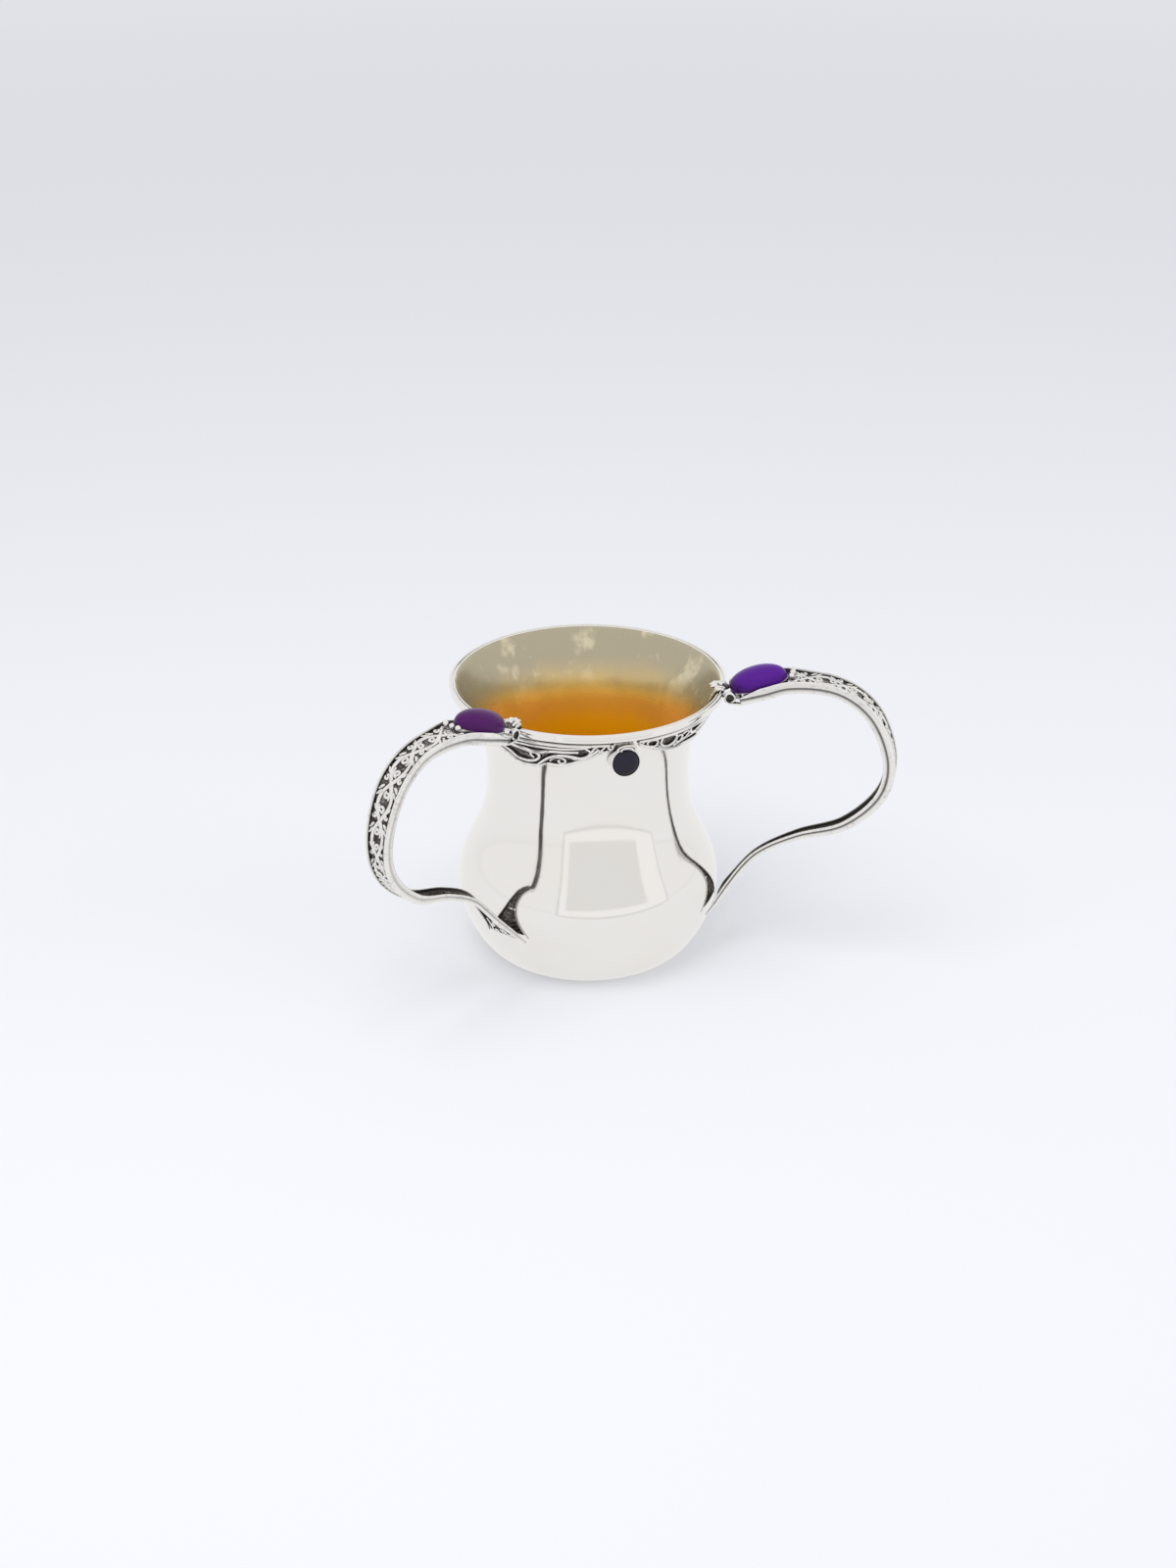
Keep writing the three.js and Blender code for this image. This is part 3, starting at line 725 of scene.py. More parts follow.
class Strap:
    """One handle's middle line, widths and twist."""

    def __init__(self, side, scene):
        cup, sizes = scene.cup_sizes, scene.handle_sizes
        self.side = side
        self.sizes = sizes
        self.front = -1 if side == "right" else 1
        foot = cup_radius(cup, sizes.foot_height) + FOOT_GAP
        foot += sizes.rail_height * RAIL_HEIGHTS[-1][1] / 2
        knots = []
        for out, up in UPPER_LINE:
            radius = cup.rim_radius + out * (sizes.grip_reach - cup.rim_radius)
            knots.append((radius, sizes.grip_height + up * (cup.height - sizes.grip_height)))
        for out, up in LOWER_LINE:
            height = sizes.foot_height + up * (sizes.grip_height - sizes.foot_height)
            knots.append((foot + out * (sizes.grip_reach - foot), height))
        run = run_through(knots)
        lengths = np.concatenate([[0], np.cumsum(np.linalg.norm(np.diff(run, axis=0), axis=1))])
        self.length = float(lengths[-1])
        self.shares = np.linspace(0, 1, SAMPLES)
        self.radius = np.interp(self.shares * self.length, lengths, run[:, 0])
        self.height = np.interp(self.shares * self.length, lengths, run[:, 1])
        slope = np.stack([np.gradient(self.radius), np.gradient(self.height)])
        self.slope = slope / np.linalg.norm(slope, axis=0)
        widths = {
            1: eased(UPPER_WIDTHS + LOWER_WIDTHS[side]["front"]),
            -1: eased(UPPER_WIDTHS + LOWER_WIDTHS[side]["back"]),
        }
        self.halves = {sign: run * sizes.strap_width / 2 for sign, run in widths.items()}
        self.twist = eased(TWISTS) * math.radians(LOWER_TWISTS[side]) * self.front
        self.tall = eased(RAIL_HEIGHTS) * sizes.rail_height
        self.lean = LEANS[side] * MM * self.front
        self.turn = Matrix.Rotation(math.radians(HANDLE_TURNS[side]), 4, "Z")

    def read(self, run, share):
        return float(np.interp(share, self.shares, run))

    def half(self, share, facing):
        """Half width towards the front (1) or the back (-1)."""
        return self.read(self.halves[facing], share)

    def rail_height(self, share):
        return self.read(self.tall, share)

    def below_edge(self, share, depth):
        """The level this far under the rails' upper edge."""
        return self.rail_height(share) / 2 - depth

    def offset(self, share):
        """How far the strap stands aside of its plane."""
        return self.lean * max(0, 1 - share / LEAN_ENDS) ** 2

    def share_at(self, reach):
        """Where the upper stretch, which runs outwards, has this radius."""
        rising = slice(RISING_SAMPLES)
        return float(np.interp(reach, self.radius[rising], self.shares[rising]))

    def local(self, share, across, out):
        """A place across the strap, positive towards the cup's front, and out from its line."""
        across *= self.front
        turn = self.read(self.twist, share)
        slope = [self.read(part, share) for part in self.slope]
        wide = across * math.cos(turn) - out * math.sin(turn)
        raised = across * math.sin(turn) + out * math.cos(turn)
        radius = self.read(self.radius, share) - raised * slope[1]
        height = self.read(self.height, share) + raised * slope[0]
        return Vector((math.sqrt(radius**2 - wide**2), wide + self.offset(share), height))

    def at(self, share, across, out):
        return self.turn @ self.local(share, across, out)

    def inner(self, share, facing):
        """Half width inside the rail."""
        return self.half(share, facing) - self.sizes.rail_thickness - INNER_GAP

    def seat(self):
        """Frame of the stone's setting on this strap, and where the strip beyond it starts."""
        middle = self.share_at(SETTING_REACH)
        slope = [self.read(part, middle) for part in self.slope]
        end = SETTING_HALF * slope[0]
        start = self.share_at(SETTING_REACH + end + STRIP_GAP)
        sink = SETTING_SINKS[self.side] * MM
        place = Matrix.Translation(self.local(middle, 0, self.rail_height(middle) / 2 - sink))
        yaw = Matrix.Rotation(-math.atan2(self.offset(0) - self.offset(start), 2 * end), 4, "Z")
        tilt = Matrix.Rotation(-math.atan2(slope[1], slope[0]), 4, "Y")
        return self.turn @ (place @ yaw @ tilt), start


straps = {}


def strap(side):
    if side not in straps:
        straps[side] = Strap(side, bpy.context.scene)
    return straps[side]


# Pieces

# Steps inwards in mm that part the round base into rings
BASE_INSETS = (4, 10, 14)


class WASHCUP_OT_body(bpy.types.Operator):
    """Raise the shell of the cup and gild its inside"""

    bl_idname = "washcup.body"
    bl_label = "Cup body"

    def execute(self, context):
        sizes = context.scene.cup_sizes
        line = cup_outline(sizes)[::-1]
        deselect()
        bpy.ops.mesh.primitive_circle_add(
            vertices=96, radius=line[0].x, fill_type="NGON", location=(0, 0, line[0].y)
        )
        body = context.object
        edit_mesh(body, "FACE")
        bpy.ops.mesh.select_all(action="SELECT")
        for upper, lower in zip(line, line[1:]):
            drop = {"value": (0, 0, lower.y - upper.y)}
            bpy.ops.mesh.extrude_region_move(TRANSFORM_OT_translate=drop)
            share = lower.x / upper.x
            bpy.ops.transform.resize(value=(share, share, 1))
        for inset in BASE_INSETS:
            bpy.ops.mesh.inset(thickness=inset * MM, depth=0)
        bpy.ops.object.mode_set(mode="OBJECT")
        for face in body.data.polygons:
            face.select = face.center.z > -MM and len(face.vertices) > 4
        edit_mesh(body, "FACE")
        bpy.ops.mesh.delete(type="ONLY_FACE")
        outward(body)
        paint(body, finishes["cup"], finishes["gilt"])
        modify(
            body,
            "SOLIDIFY",
            thickness=sizes.wall,
            offset=-1,
            use_even_offset=True,
            material_offset=1,
            material_offset_rim=0,
        )
        soften(body)
        finish(body, "cup_shell", "silver", "cup_body")
        return {"FINISHED"}


class WASHCUP_OT_rim(bpy.types.Operator):
    """Turn the band round the lip, with its rounded top edge"""

    bl_idname = "washcup.rim"
    bl_label = "Rim band"

    def execute(self, context):
        sizes = context.scene.cup_sizes
        top, rim = sizes.height / MM, sizes.rim_radius / MM
        drop = sizes.band_height / MM
        inner = sizes.lip_radius / MM
        section = [
            (rim, top - drop + 0.5),
            (rim, top - 1.3),
            (rim - 0.14, top - 1.08),
            (rim - 0.02, top - 0.86),
            (rim + 0.04, top - 0.35),
            (rim - 0.18, top + 0.08),
            (rim - 0.7, top + 0.24),
            (inner - 0.12, top + 0.1),
            (inner + 0.04, top - 0.6),
            (inner - 0.55, top - 2),
            (inner - 1.15, top - drop + 0.1),
            (rim - 0.35, top - drop),
        ]
        section = [(radius * MM, height * MM) for radius, height in section]
        band = ring(section, around=192)
        paint(band, finishes["cup"])
        soften(band)
        finish(band, "lip_band", "silver", "rim_band")
        return {"FINISHED"}


# Corners of the rail's section: depth from its outer face, level, and how black it is painted, as
# oxide and painted shade in its groove and on its inner face
RAIL_SECTION = (
    (0.3, 0.99, 0),
    (0.06, 0.86, 0),
    (0.0, 0.6, 0),
    (0.0, 0.12, 0.1),
    (0.12, 0.02, 0.5),
    (0.32, -0.06, 0.85),
    (0.32, -0.24, 0.85),
    (0.12, -0.34, 0.5),
    (0.0, -0.44, 0.1),
    (0.0, -0.78, 0),
    (0.16, -0.97, 0),
    (0.38, -0.99, 0.2),
    (0.48, -0.8, 0.8),
    (0.5, -0.25, 1),
    (0.62, -0.05, 1),
    (1.2, 0.02, 1),
    (1.3, 0.2, 1),
    (1.3, 0.6, 0.9),
    (1.18, 0.9, 0.3),
    (0.78, 1.02, 0),
)
RAIL_SECTION_DEPTH = 1.3
RAIL_CUTS = 170
# Shares of the line: where a rail starts, rises to its full height, and thins again at the foot
RAIL_START, RAIL_RISES, RAIL_THINS = 0.003, 0.055, 0.03
# The left handle's groove is painted less black by this much, fully from this share of the line on
GROOVE_PALER, GROOVE_PALER_FROM = 0.65, 0.3


def rail(line, facing):
    """A grooved edge rail that rises from its scroll and thins to a tip at the foot."""
    scale = line.sizes.rail_thickness / RAIL_SECTION_DEPTH
    middle = line.sizes.rail_thickness / 2

    def corner(side, share):
        depth, level = RAIL_SECTION[side][:2]
        share = RAIL_START + share * (1 - RAIL_START)
        if level > 0:
            level *= min(1, 0.1 + 0.9 * share / RAIL_RISES)
        tip = min(1, 0.45 + 0.55 * (1 - share) / RAIL_THINS)
        across = line.half(share, facing) - middle - (depth * scale - middle) * tip
        return line.at(share, facing * across, level * line.rail_height(share) / 2 * tip)

    # Oxide and painted shade: black in the groove and on the inner face toward the strip, less in
    # the left handle's groove
    def oxide_and_shade(side, share):
        depth, level, tarnish_and_shade = RAIL_SECTION[side]
        if line.side == "left" and depth < 0.35 and -0.4 < level < 0.1:
            tarnish_and_shade *= 1 - GROOVE_PALER * min(1, share / GROOVE_PALER_FROM)
        return tarnish_and_shade

    return bent_bar(len(RAIL_SECTION), RAIL_CUTS, corner, oxide_and_shade)


# Corners of the scroll's flat wire with its edges cut off, as shares of its thickness and width
WIRE_SECTION = (
    (0.5, 0.3),
    (0.3, 0.5),
    (-0.3, 0.5),
    (-0.5, 0.3),
    (-0.5, -0.3),
    (-0.3, -0.5),
    (0.3, -0.5),
    (0.5, -0.3),
)
SCROLL_WIDTH = 2.3 * MM
SCROLL_WIRE = 0.95 * MM
# The scroll's nearest radius and its middle's height
SCROLL_REACH, SCROLL_LEVEL = 54.6 * MM, 113.4 * MM
# Where its wire comes from under the rail, out from its middle and below it
SCROLL_TAIL = ((5.4 * MM, 1.9 * MM), (3.6 * MM, 2.5 * MM))
# Where its coil begins and how far it turns, in degrees
SCROLL_BEGINS, SCROLL_TURNS = -80, 400
# The black disc in the eye, painted shade: its margin inside the scroll and how much thinner it is
# than the scroll
EYE_MARGIN = 1.15 * MM
EYE_SINKS = 0.5 * MM


def volute(line, facing):
    """The rail's end, rolled into an open scroll whose eye is a disc painted black as shade."""
    sizes = line.sizes
    radius = sizes.scroll_radius
    hand = facing * line.front
    outer, aside = line.half(0, facing), line.offset(0)
    inner = (outer - SCROLL_WIDTH) * hand + aside
    centre = math.sqrt((SCROLL_REACH + radius) ** 2 - inner**2)
    path = [(centre + out, SCROLL_LEVEL - down) for out, down in SCROLL_TAIL]
    for share in steps(0, 1, 40):
        angle = math.radians(SCROLL_BEGINS - SCROLL_TURNS * share)
        swing = radius - SCROLL_WIRE / 2 - share * (radius - sizes.scroll_bore - SCROLL_WIRE)
        path.append((centre + swing * math.cos(angle), SCROLL_LEVEL + swing * math.sin(angle)))
    path = np.array(path)
    slopes = np.gradient(path, axis=0)
    slopes /= np.linalg.norm(slopes, axis=1)[:, None]
    places = np.linspace(0, 1, len(path))

    def corner(side, share):
        deep, wide = WIRE_SECTION[side]
        x, z = (np.interp(share, places, path[:, i]) for i in (0, 1))
        sx, sz = (np.interp(share, places, slopes[:, i]) for i in (0, 1))
        gauge = SCROLL_WIRE * (0.75 if share < 0.02 or share > 0.98 else 1)
        x, z = x - sz * deep * gauge, z + sx * deep * gauge
        across = (outer - SCROLL_WIDTH / 2 + wide * SCROLL_WIDTH) * hand
        return line.turn @ Vector((x, across + aside, z))

    def oxide_and_shade(side, share):
        """The coil is painted black towards its inner end, as shade inside the scroll."""
        return min(1, max(0, 8 * share - 6.4))

    scroll = bent_bar(len(WIRE_SECTION), 100, corner, oxide_and_shade)
    deselect()
    # The eye: a disc painted wholly black, a dark piece standing for the shade in the scroll's bore
    bpy.ops.mesh.primitive_cylinder_add(
        vertices=32, radius=radius - EYE_MARGIN, depth=SCROLL_WIDTH - EYE_SINKS
    )
    eye = bpy.context.object
    tarnish_and_shade = eye.data.attributes.new("tarnish_and_shade", "FLOAT", "POINT")
    for mark in tarnish_and_shade.data:
        mark.value = 1
    middle = (outer - SCROLL_WIDTH / 2) * hand + aside
    reshape(eye, lambda co: line.turn @ Vector((centre + co.x, middle + co.z, SCROLL_LEVEL + co.y)))
    outward(eye)
    soften(eye, 0, math.radians(40))
    return joined([scroll, eye])


class WASHCUP_OT_rails(bpy.types.Operator):
    """Bend the grooved edge rails of both handles and roll their ends"""

    bl_idname = "washcup.rails"
    bl_label = "Rails and scrolls"

    def execute(self, context):
        for side in SIDES:
            line = strap(side)
            for place, facing in (("front", 1), ("back", -1)):
                bar = rail(line, facing)
                paint(bar, finishes["rail"])
                soften(bar)
                finish(bar, f"{side}_{place}_edge", "silver", f"{side}_{place}_rail")
                roll = volute(line, facing)
                paint(roll, finishes["clasp"])
                soften(roll)
                finish(roll, f"{side}_{place}_volute", "silver", f"{side}_{place}_scroll")
        return {"FINISHED"}


def ground(line, start, end, cuts, depth, thickness):
    """The dark sheet behind the scrollwork, between two shares of the line."""
    deselect()
    bpy.ops.mesh.primitive_grid_add(x_subdivisions=cuts, y_subdivisions=6, size=2)
    sheet = bpy.context.object

    def move(co):
        share = start + (end - start) * (co.x + 1) / 2
        facing = 1 if co.y > 0 else -1
        half = max(line.inner(share, facing), 0.2 * MM)
        return line.at(share, co.y * half, line.below_edge(share, depth))

    reshape(sheet, move)
    modify(sheet, "SOLIDIFY", thickness=thickness, offset=0)
    return sheet


# The strip's scrolls take this share of its length, in this many repeats, and a lattice the rest
SCROLL_SHARE, REPEATS = 0.6, 5
LATTICE_SPAN, LATTICE_PITCH = 4.6, 2.3
# A spur's gauges: thin, full and thin again
SPUR = (0.5, 0.95, 0.4)
LEAF = (0.5, 0.95, 0.35)


def scrolls(strands, unit, wide):
    """Two waves that cross, with curls and spurs in their bays and leaves at the crossings."""

    def stem(points, gauges):
        strands.append((points, gauges))

    for sign in (1, -1):
        points = []
        for x in steps(0, unit * REPEATS + 1.5, 56):
            points.append((x, sign * 0.68 * wide(x) * math.cos(math.pi * x / unit)))
        stem(points, (0.8, 1.0, 1.0, 0.9))
    for i in range(REPEATS + 1):
        x = unit * i
        half = wide(x)
        hand = 1 if i % 2 else -1
        for way, begin, rise in ((-1, 200, 0.3), (1, 20, -0.32)):
            if i == (0 if way < 0 else REPEATS):
                continue
            heart = (x + way * 0.2 * unit, -way * hand * 0.1 * half)
            stem(curl(*heart, 0.3 * half, begin, 1.15, hand), (0.8, 0.7, 0.6))
            spur = [
                (x + way * 0.42 * unit, 0),
                (x + way * 0.3 * unit, rise * half),
                (x + way * 0.06 * unit, -way * 0.36 * half),
            ]
            stem(spur, SPUR)
        if i < REPEATS:
            crossing = x + unit / 2
            half = wide(crossing)
            for sign in (1, -1):
                bud = (crossing - 0.12 * unit, sign * 0.72 * half)
                stem(curl(*bud, 0.22 * half, 180, 0.9, sign, 0.4, 7), (0.75, 0.6))
                for step, reach in ((0.06, 0.94), (0.2, 0.98), (-0.24, 0.96)):
                    foot = crossing + step * unit
                    tip = foot + 0.16 * unit * (1 if step > 0 else -1)
                    leaf = [
                        (foot, sign * 0.5 * half),
                        (0.5 * (foot + tip), sign * 0.78 * half),
                        (tip, sign * reach * half),
                    ]
                    stem(leaf, LEAF)


def lattice(strands, start, end, wide):
    """Slanting wires that cross over thinner ones."""
    x = start
    while x + 2 < end:
        over, under = [], []
        for share in steps(0, 1, 7):
            bend = share + 0.1 * math.sin(2 * math.pi * share)
            place = x + LATTICE_SPAN * share
            reach = 0.96 * wide(place)
            over.append((place, (2 * bend - 1) * reach))
            under.append((place + LATTICE_PITCH / 2, (1 - 2 * bend) * reach))
        strands.append((over, (0.75, 0.95, 0.75)))
        strands.append((under, (0.55, 0.62, 0.55)))
        x += LATTICE_PITCH


def strip_patterns(long, wide):
    """Wires of the strip as (points, gauge shares), in millimetres along and across."""
    strands = []
    scrolls(strands, SCROLL_SHARE * long / REPEATS, wide)
    lattice(strands, SCROLL_SHARE * long - 0.5, long, wide)
    return strands


# Shares of the line where the strip's relief, its ground and its hidden lace end
RELIEF_ENDS, GROUND_ENDS, LACE_ENDS = 0.76, 0.925, 0.93
# How far the ground reaches back under the setting, as a share of the line
GROUND_TUCK = 0.002
STRIP_RECESS = 0.5 * MM
STRIP_GROUND = 0.55 * MM
# How far the ground's middle lies under the relief, and the lace under that
GROUND_DROP, LACE_DROP = 0.15 * MM, 0.42 * MM
# The right handle's scrolls are finer
WIRE_SHARES = {"left": 1.0, "right": 0.74}
# The lace: half a wave in mm, its wire and its margin inside the rails
LACE_WAVE = 2.9
LACE_WIRE, LACE_MARGIN = 0.24 * MM, 0.9 * MM


def strip_relief(line, start):
    """The scrolls and the lattice, from a share of the line on."""

    def along(x):
        return start + x * MM / line.length

    def wide(x):
        return min(line.inner(along(x), 1), line.inner(along(x), -1)) / MM

    full = line.sizes.wire * WIRE_SHARES[line.side]
    strands = []
    for points, gauge in strip_patterns((RELIEF_ENDS - start) * line.length / MM, wide):
        strand = []
        swell = np.interp(steps(0, 1, len(points)), steps(0, 1, len(gauge)), gauge)
        for (x, y), thick in zip(points, swell):
            share = along(x)
            if share > RELIEF_ENDS:
                break
            wire = full * float(thick) * min(1, 0.42 + 0.15 * wide(x))
            shift = (line.inner(share, 1) - line.inner(share, -1)) / 2
            level = line.below_edge(share, STRIP_RECESS + wire)
            strand.append((line.at(share, y * MM + shift, level), wire))
        if len(strand) > 2:
            strands.append(strand)
    return wirework(strands)


def strip_lace(line, start, depth):
    """Two crossing waves on the back of the strip's ground."""
    strands = []
    for sign in (1, -1):
        strand = []
        for x in steps(0, (LACE_ENDS - start) * line.length / MM, 120):
            share = start + x * MM / line.length
            half = max(line.half(share, 1) - LACE_MARGIN, 0.4 * MM)
            across = sign * 0.7 * half * math.cos(math.pi * x / LACE_WAVE)
            level = line.below_edge(share, depth + LACE_DROP)
            strand.append((line.at(share, across, level), LACE_WIRE))
        strands.append(strand)
    return wirework(strands, roundness=1, smoothness=3)


class WASHCUP_OT_strips(bpy.types.Operator):
    """Lay the scrollwork between the rails on its dark ground"""

    bl_idname = "washcup.strips"
    bl_label = "Scroll strips"

    def execute(self, context):
        for side in SIDES:
            line = strap(side)
            start = line.seat()[1]
            depth = STRIP_RECESS + line.sizes.relief + GROUND_DROP
            sheet = ground(line, start - GROUND_TUCK, GROUND_ENDS, 220, depth, STRIP_GROUND)
            work = strip_relief(line, start)
            lace = strip_lace(line, start, depth)
            paint(sheet, finishes["oxide"])
            paint(work, finishes["relief"])
            paint(lace, finishes["oxide"])
            strip = joined([sheet, work, lace])
            finish(strip, f"{side}_scroll_strip", "dark_silver", f"{side}_filigree_strip")
        return {"FINISHED"}


# Shares of the line between which the foot web lies
WEB_STARTS, WEB_ENDS = 0.93, 0.992
# Depths under the rails' edge of its ground, its curls and its two stems
WEB_DEPTH, CURL_DEPTH, STEM_DEPTH = 1.25 * MM, 0.8 * MM, 0.75 * MM
WEB_GROUND = 0.45 * MM
# Its curls: share of the line, share of the half width, radius in mm and hand
WEB_CURLS = (
    (0.946, 0.3, 1.0, 1),
    (0.962, -0.35, 1.0, -1),
    (0.976, 0.45, 1.5, 1),
    (0.984, -0.2, 1.1, -1),
    (0.985, 0.75, 1.2, 1),
)
CURL_WIRE, STEM_WIRE = 0.38 * MM, 0.36 * MM
# The leaves outside the back rail: share of the line and radius in mm, and their gap and shape
WEB_LEAVES = ((0.955, 0.8), (0.972, 0.95), (0.988, 0.8))
LEAF_GAP, LEAF_SHAPE = 0.25 * MM, (1, 0.7, 0.8)


def web_wires(line):
    """Curls with two stems beside them, between the spread rails."""
    strands = []
    for x, y, size, hand in WEB_CURLS:
        strand = []
        facing = 1 if y > 0 else -1
        for dx, dy in curl(0, 0, size, 200, 1.2, hand):
            share = min(0.994, x + dx * MM / line.length)
            across = y * line.inner(share, facing) + dy * MM
            strand.append((line.at(share, across, line.below_edge(share, CURL_DEPTH)), CURL_WIRE))
        strands.append(strand)
    for facing in (1, -1):
        strand = []
        for share in steps(WEB_STARTS, 0.99, 8):
            across = facing * 0.55 * line.inner(share, facing)
            strand.append((line.at(share, across, line.below_edge(share, STEM_DEPTH)), STEM_WIRE))
        strands.append(strand)
    return wirework(strands)


class WASHCUP_OT_feet(bpy.types.Operator):
    """Fill the spread ends of the handles with a small scroll web"""

    bl_idname = "washcup.feet"
    bl_label = "Foot webs"

    def execute(self, context):
        for side in SIDES:
            line = strap(side)
            sheet = ground(line, WEB_STARTS, WEB_ENDS, 24, WEB_DEPTH, WEB_GROUND)
            bright = [web_wires(line)]
            for share, size in WEB_LEAVES:
                place = line.at(share, -line.half(share, -1) - LEAF_GAP, 0)
                bright.append(ball(place, size * MM, LEAF_SHAPE))
            paint(sheet, finishes["oxide"])
            for part in bright:
                paint(part, finishes["relief"])
            web = joined([sheet, *bright])
            finish(web, f"{side}_foot_web", "dark_silver", f"{side}_foot_filigree")
        return {"FINISHED"}


# A cabochon's upright girdle as a share of its height, and how full its dome is
GIRDLE = 0.22
DOME_RISE, DOME_SWELL = 0.92, 2.35


def cabochon(half_length, half_width, rise, base):
    """A polished dome on a short upright girdle, standing on z = base."""
    deselect()
    bpy.ops.mesh.primitive_uv_sphere_add(segments=64, ring_count=48, radius=1)
    stone = bpy.context.object
    edit_mesh(stone)
    bpy.ops.mesh.select_all(action="SELECT")
    bpy.ops.mesh.bisect(
        plane_co=(0, 0, 0), plane_no=(0, 0, 1), clear_inner=True, use_fill=True, threshold=0.0001
    )
    bpy.ops.object.mode_set(mode="OBJECT")

    def dome(co):
        flat = math.hypot(co.x, co.y)
        lift = max(0.0, co.z)
        height = rise * (GIRDLE + (1 - GIRDLE) * lift**DOME_RISE) if lift > 0.001 else 0
        swell = (max(0.0, 1 - lift**DOME_SWELL)) ** 0.5 / flat if flat > 0.02 else 1
        return Vector((co.x * swell * half_length, co.y * swell * half_width, base + height))

    reshape(stone, dome)
    soften(stone, 0, math.radians(50))
    return stone


def bezel(half_length, half_width, wall, tall, base, place):
    """A thin upright wall with a closed seat under the stone."""
    crest = (wall * 0.5, tall + 0.1 * MM)
    section = [(0, base), (0, tall), crest, (wall, tall), (wall, 0), (0, 0)]

    def stretch(turn, out, height):
        x, y = half_length + out, half_width + out
        return Vector((x * math.cos(turn), y * math.sin(turn), height))

    wall_ring = ring(section[::-1], around=72, stretch=stretch)
    deselect()
    bpy.ops.mesh.primitive_circle_add(vertices=72, radius=1, fill_type="NGON")
    seat = bpy.context.object
    bpy.ops.transform.resize(value=(half_length + wall / 2, half_width + wall / 2, 1))
    bpy.ops.transform.translate(value=(0, 0, base * 0.6))
    rest_in_place(seat)
    modify(seat, "SOLIDIFY", thickness=base * 0.6, offset=0)
    whole = joined([wall_ring, seat])
    choose(whole)
    bpy.ops.object.shade_smooth_by_angle(angle=math.radians(40))
    reshape(whole, lambda co: place @ co)
    return whole


# An oval setting: the gap round the stone, and its wall's thickness, height and seat
OVAL_GAP, OVAL_WALL, OVAL_TALL = 0.3 * MM, 0.4 * MM, 2.2 * MM
SEAT_RISE = 0.6 * MM
# The violet stones swell over their settings by this much, and stand this high in them
STONE_SWELL, STONE_BASE = 1.05, 0.8 * MM
BEAD_PITCH = 3 * MM
BEAD_SINKS = 0.2 * MM


class WASHCUP_OT_amethysts(bpy.types.Operator):
    """Set the oval stones between the rails, with beads beyond them"""

    bl_idname = "washcup.amethysts"
    bl_label = "Violet stones"

    def execute(self, context):
        sizes = context.scene.stone_sizes
        long, wide = sizes.length / 2, sizes.width / 2
        inside = (long + OVAL_GAP, wide + OVAL_GAP)
        for side in SIDES:
            line = strap(side)
            seat, start = line.seat()
            wall = bezel(*inside, OVAL_WALL, OVAL_TALL, SEAT_RISE, seat)
            paint(wall, finishes["rail"])
            finish(wall, f"{side}_oval_bezel", "silver", f"{side}_stone_setting")
            stone = cabochon(long * STONE_SWELL, wide * STONE_SWELL, sizes.rise, STONE_BASE)
            reshape(stone, lambda co: seat @ co)
            paint(stone, finishes["amethyst"])
            finish(stone, f"{side}_violet_stone", "amethyst", f"{side}_amethyst")
            share = start + sizes.bead_radius / line.length
            level = line.below_edge(share, BEAD_SINKS - sizes.bead_radius)
            for i in range(3):
                across = (i - 1) * BEAD_PITCH * line.front
                bead = ball(line.at(share, across, level), sizes.bead_radius)
                paint(bead, finishes["rail"])
                finish(bead, f"{side}_grain_{i + 1}", "silver", f"{side}_bead_{i + 1}")
        return {"FINISHED"}


# The clasp's five wires: turn in degrees and reach, and their gauges in mm from outside to inside
CLASP_WIRES = ((-6.2, 0.9), (-3.4, 1), (0, 1), (3.4, 1), (6.2, 0.9))
CLASP_GAUGES = (0.5, 0.8, 0.95, 0.9, 0.75, 0.4)
# The clasp's tongues: turn in degrees, then distance, size and height in mm
CLASP_TONGUES = (
    (-52, 2.9, 1.5, 1.3),
    (-26, 3.4, 1.7, 1.5),
    (0, 3.6, 1.8, 1.5),
    (26, 3.4, 1.7, 1.5),
    (52, 2.9, 1.5, 1.3),
)
# Its balls, in mm: out from the lip's inner edge, or from the rim, up from its top, and radius
BED, BED_SHAPE = (1.3, 0.4, 2.8), (1, 1, 0.34)
KNOB = (0.6, 1.1, 1.05)
SIDE_KNOB = (0.2, -1.2, 0.95)
SIDE_KNOB_TURN = 0.082
# Its top over the lip, its depth inside the cup, and the tongues' root inside the lip
CLASP_LIFT, CLASP_DEPTH, TONGUE_ROOT = 0.35 * MM, 4.4 * MM, 1.2 * MM


def clasp_wires(cup, turn, top, lip):
    """Five wires that bend over the lip, side by side."""
    lean = cup.lip_radius - cup_radius(cup, cup.height - 4.5 * MM)
    path = [
        (cup.rim_radius, top + 0.5 * MM),
        (cup.lip_radius, top + 0.65 * MM),
        (lip, top + 0.5 * MM),
        (lip - 0.75 * MM, top - 0.3 * MM),
        (lip - 0.9 * MM - lean * 0.3, top - 2 * MM),
    ]
    strands = []
    for angle, reach in CLASP_WIRES:
        bow = Matrix.Rotation(math.radians(angle * 0.62), 4, "Z")
        tip = (lip - 0.75 * MM - lean - (reach - 0.9) * 2 * MM, cup.height - CLASP_DEPTH)
        strand = []
        for (radius, height), gauge in zip([*path, tip], CLASP_GAUGES):
            strand.append((turn @ bow @ Vector((radius, 0, height)), gauge * MM * reach))
        strands.append(strand)
    return wirework(strands, roundness=3, smoothness=6)


def clasp_tongue(angle, distance, size, lift, seat):
    """A ball pressed into a tongue that narrows and droops outwards, with a crease along it."""
    tongue = ball((0, 0, 0), MM)
    bend = Matrix.Rotation(math.radians(angle), 4, "Z")

    def press(co):
        x, y, z = (v / MM for v in co)
        y *= 0.62 * (1 - 0.35 * x) * (1 - 0.22 * math.exp(-8 * y * y))
        z = z * 0.42 - 0.28 * x * x
        spot = bend @ Vector((-distance - x * size, y * size, z * size + lift))
        return seat @ (spot * MM)

    rest_in_place(tongue)
    reshape(tongue, press)
    return tongue


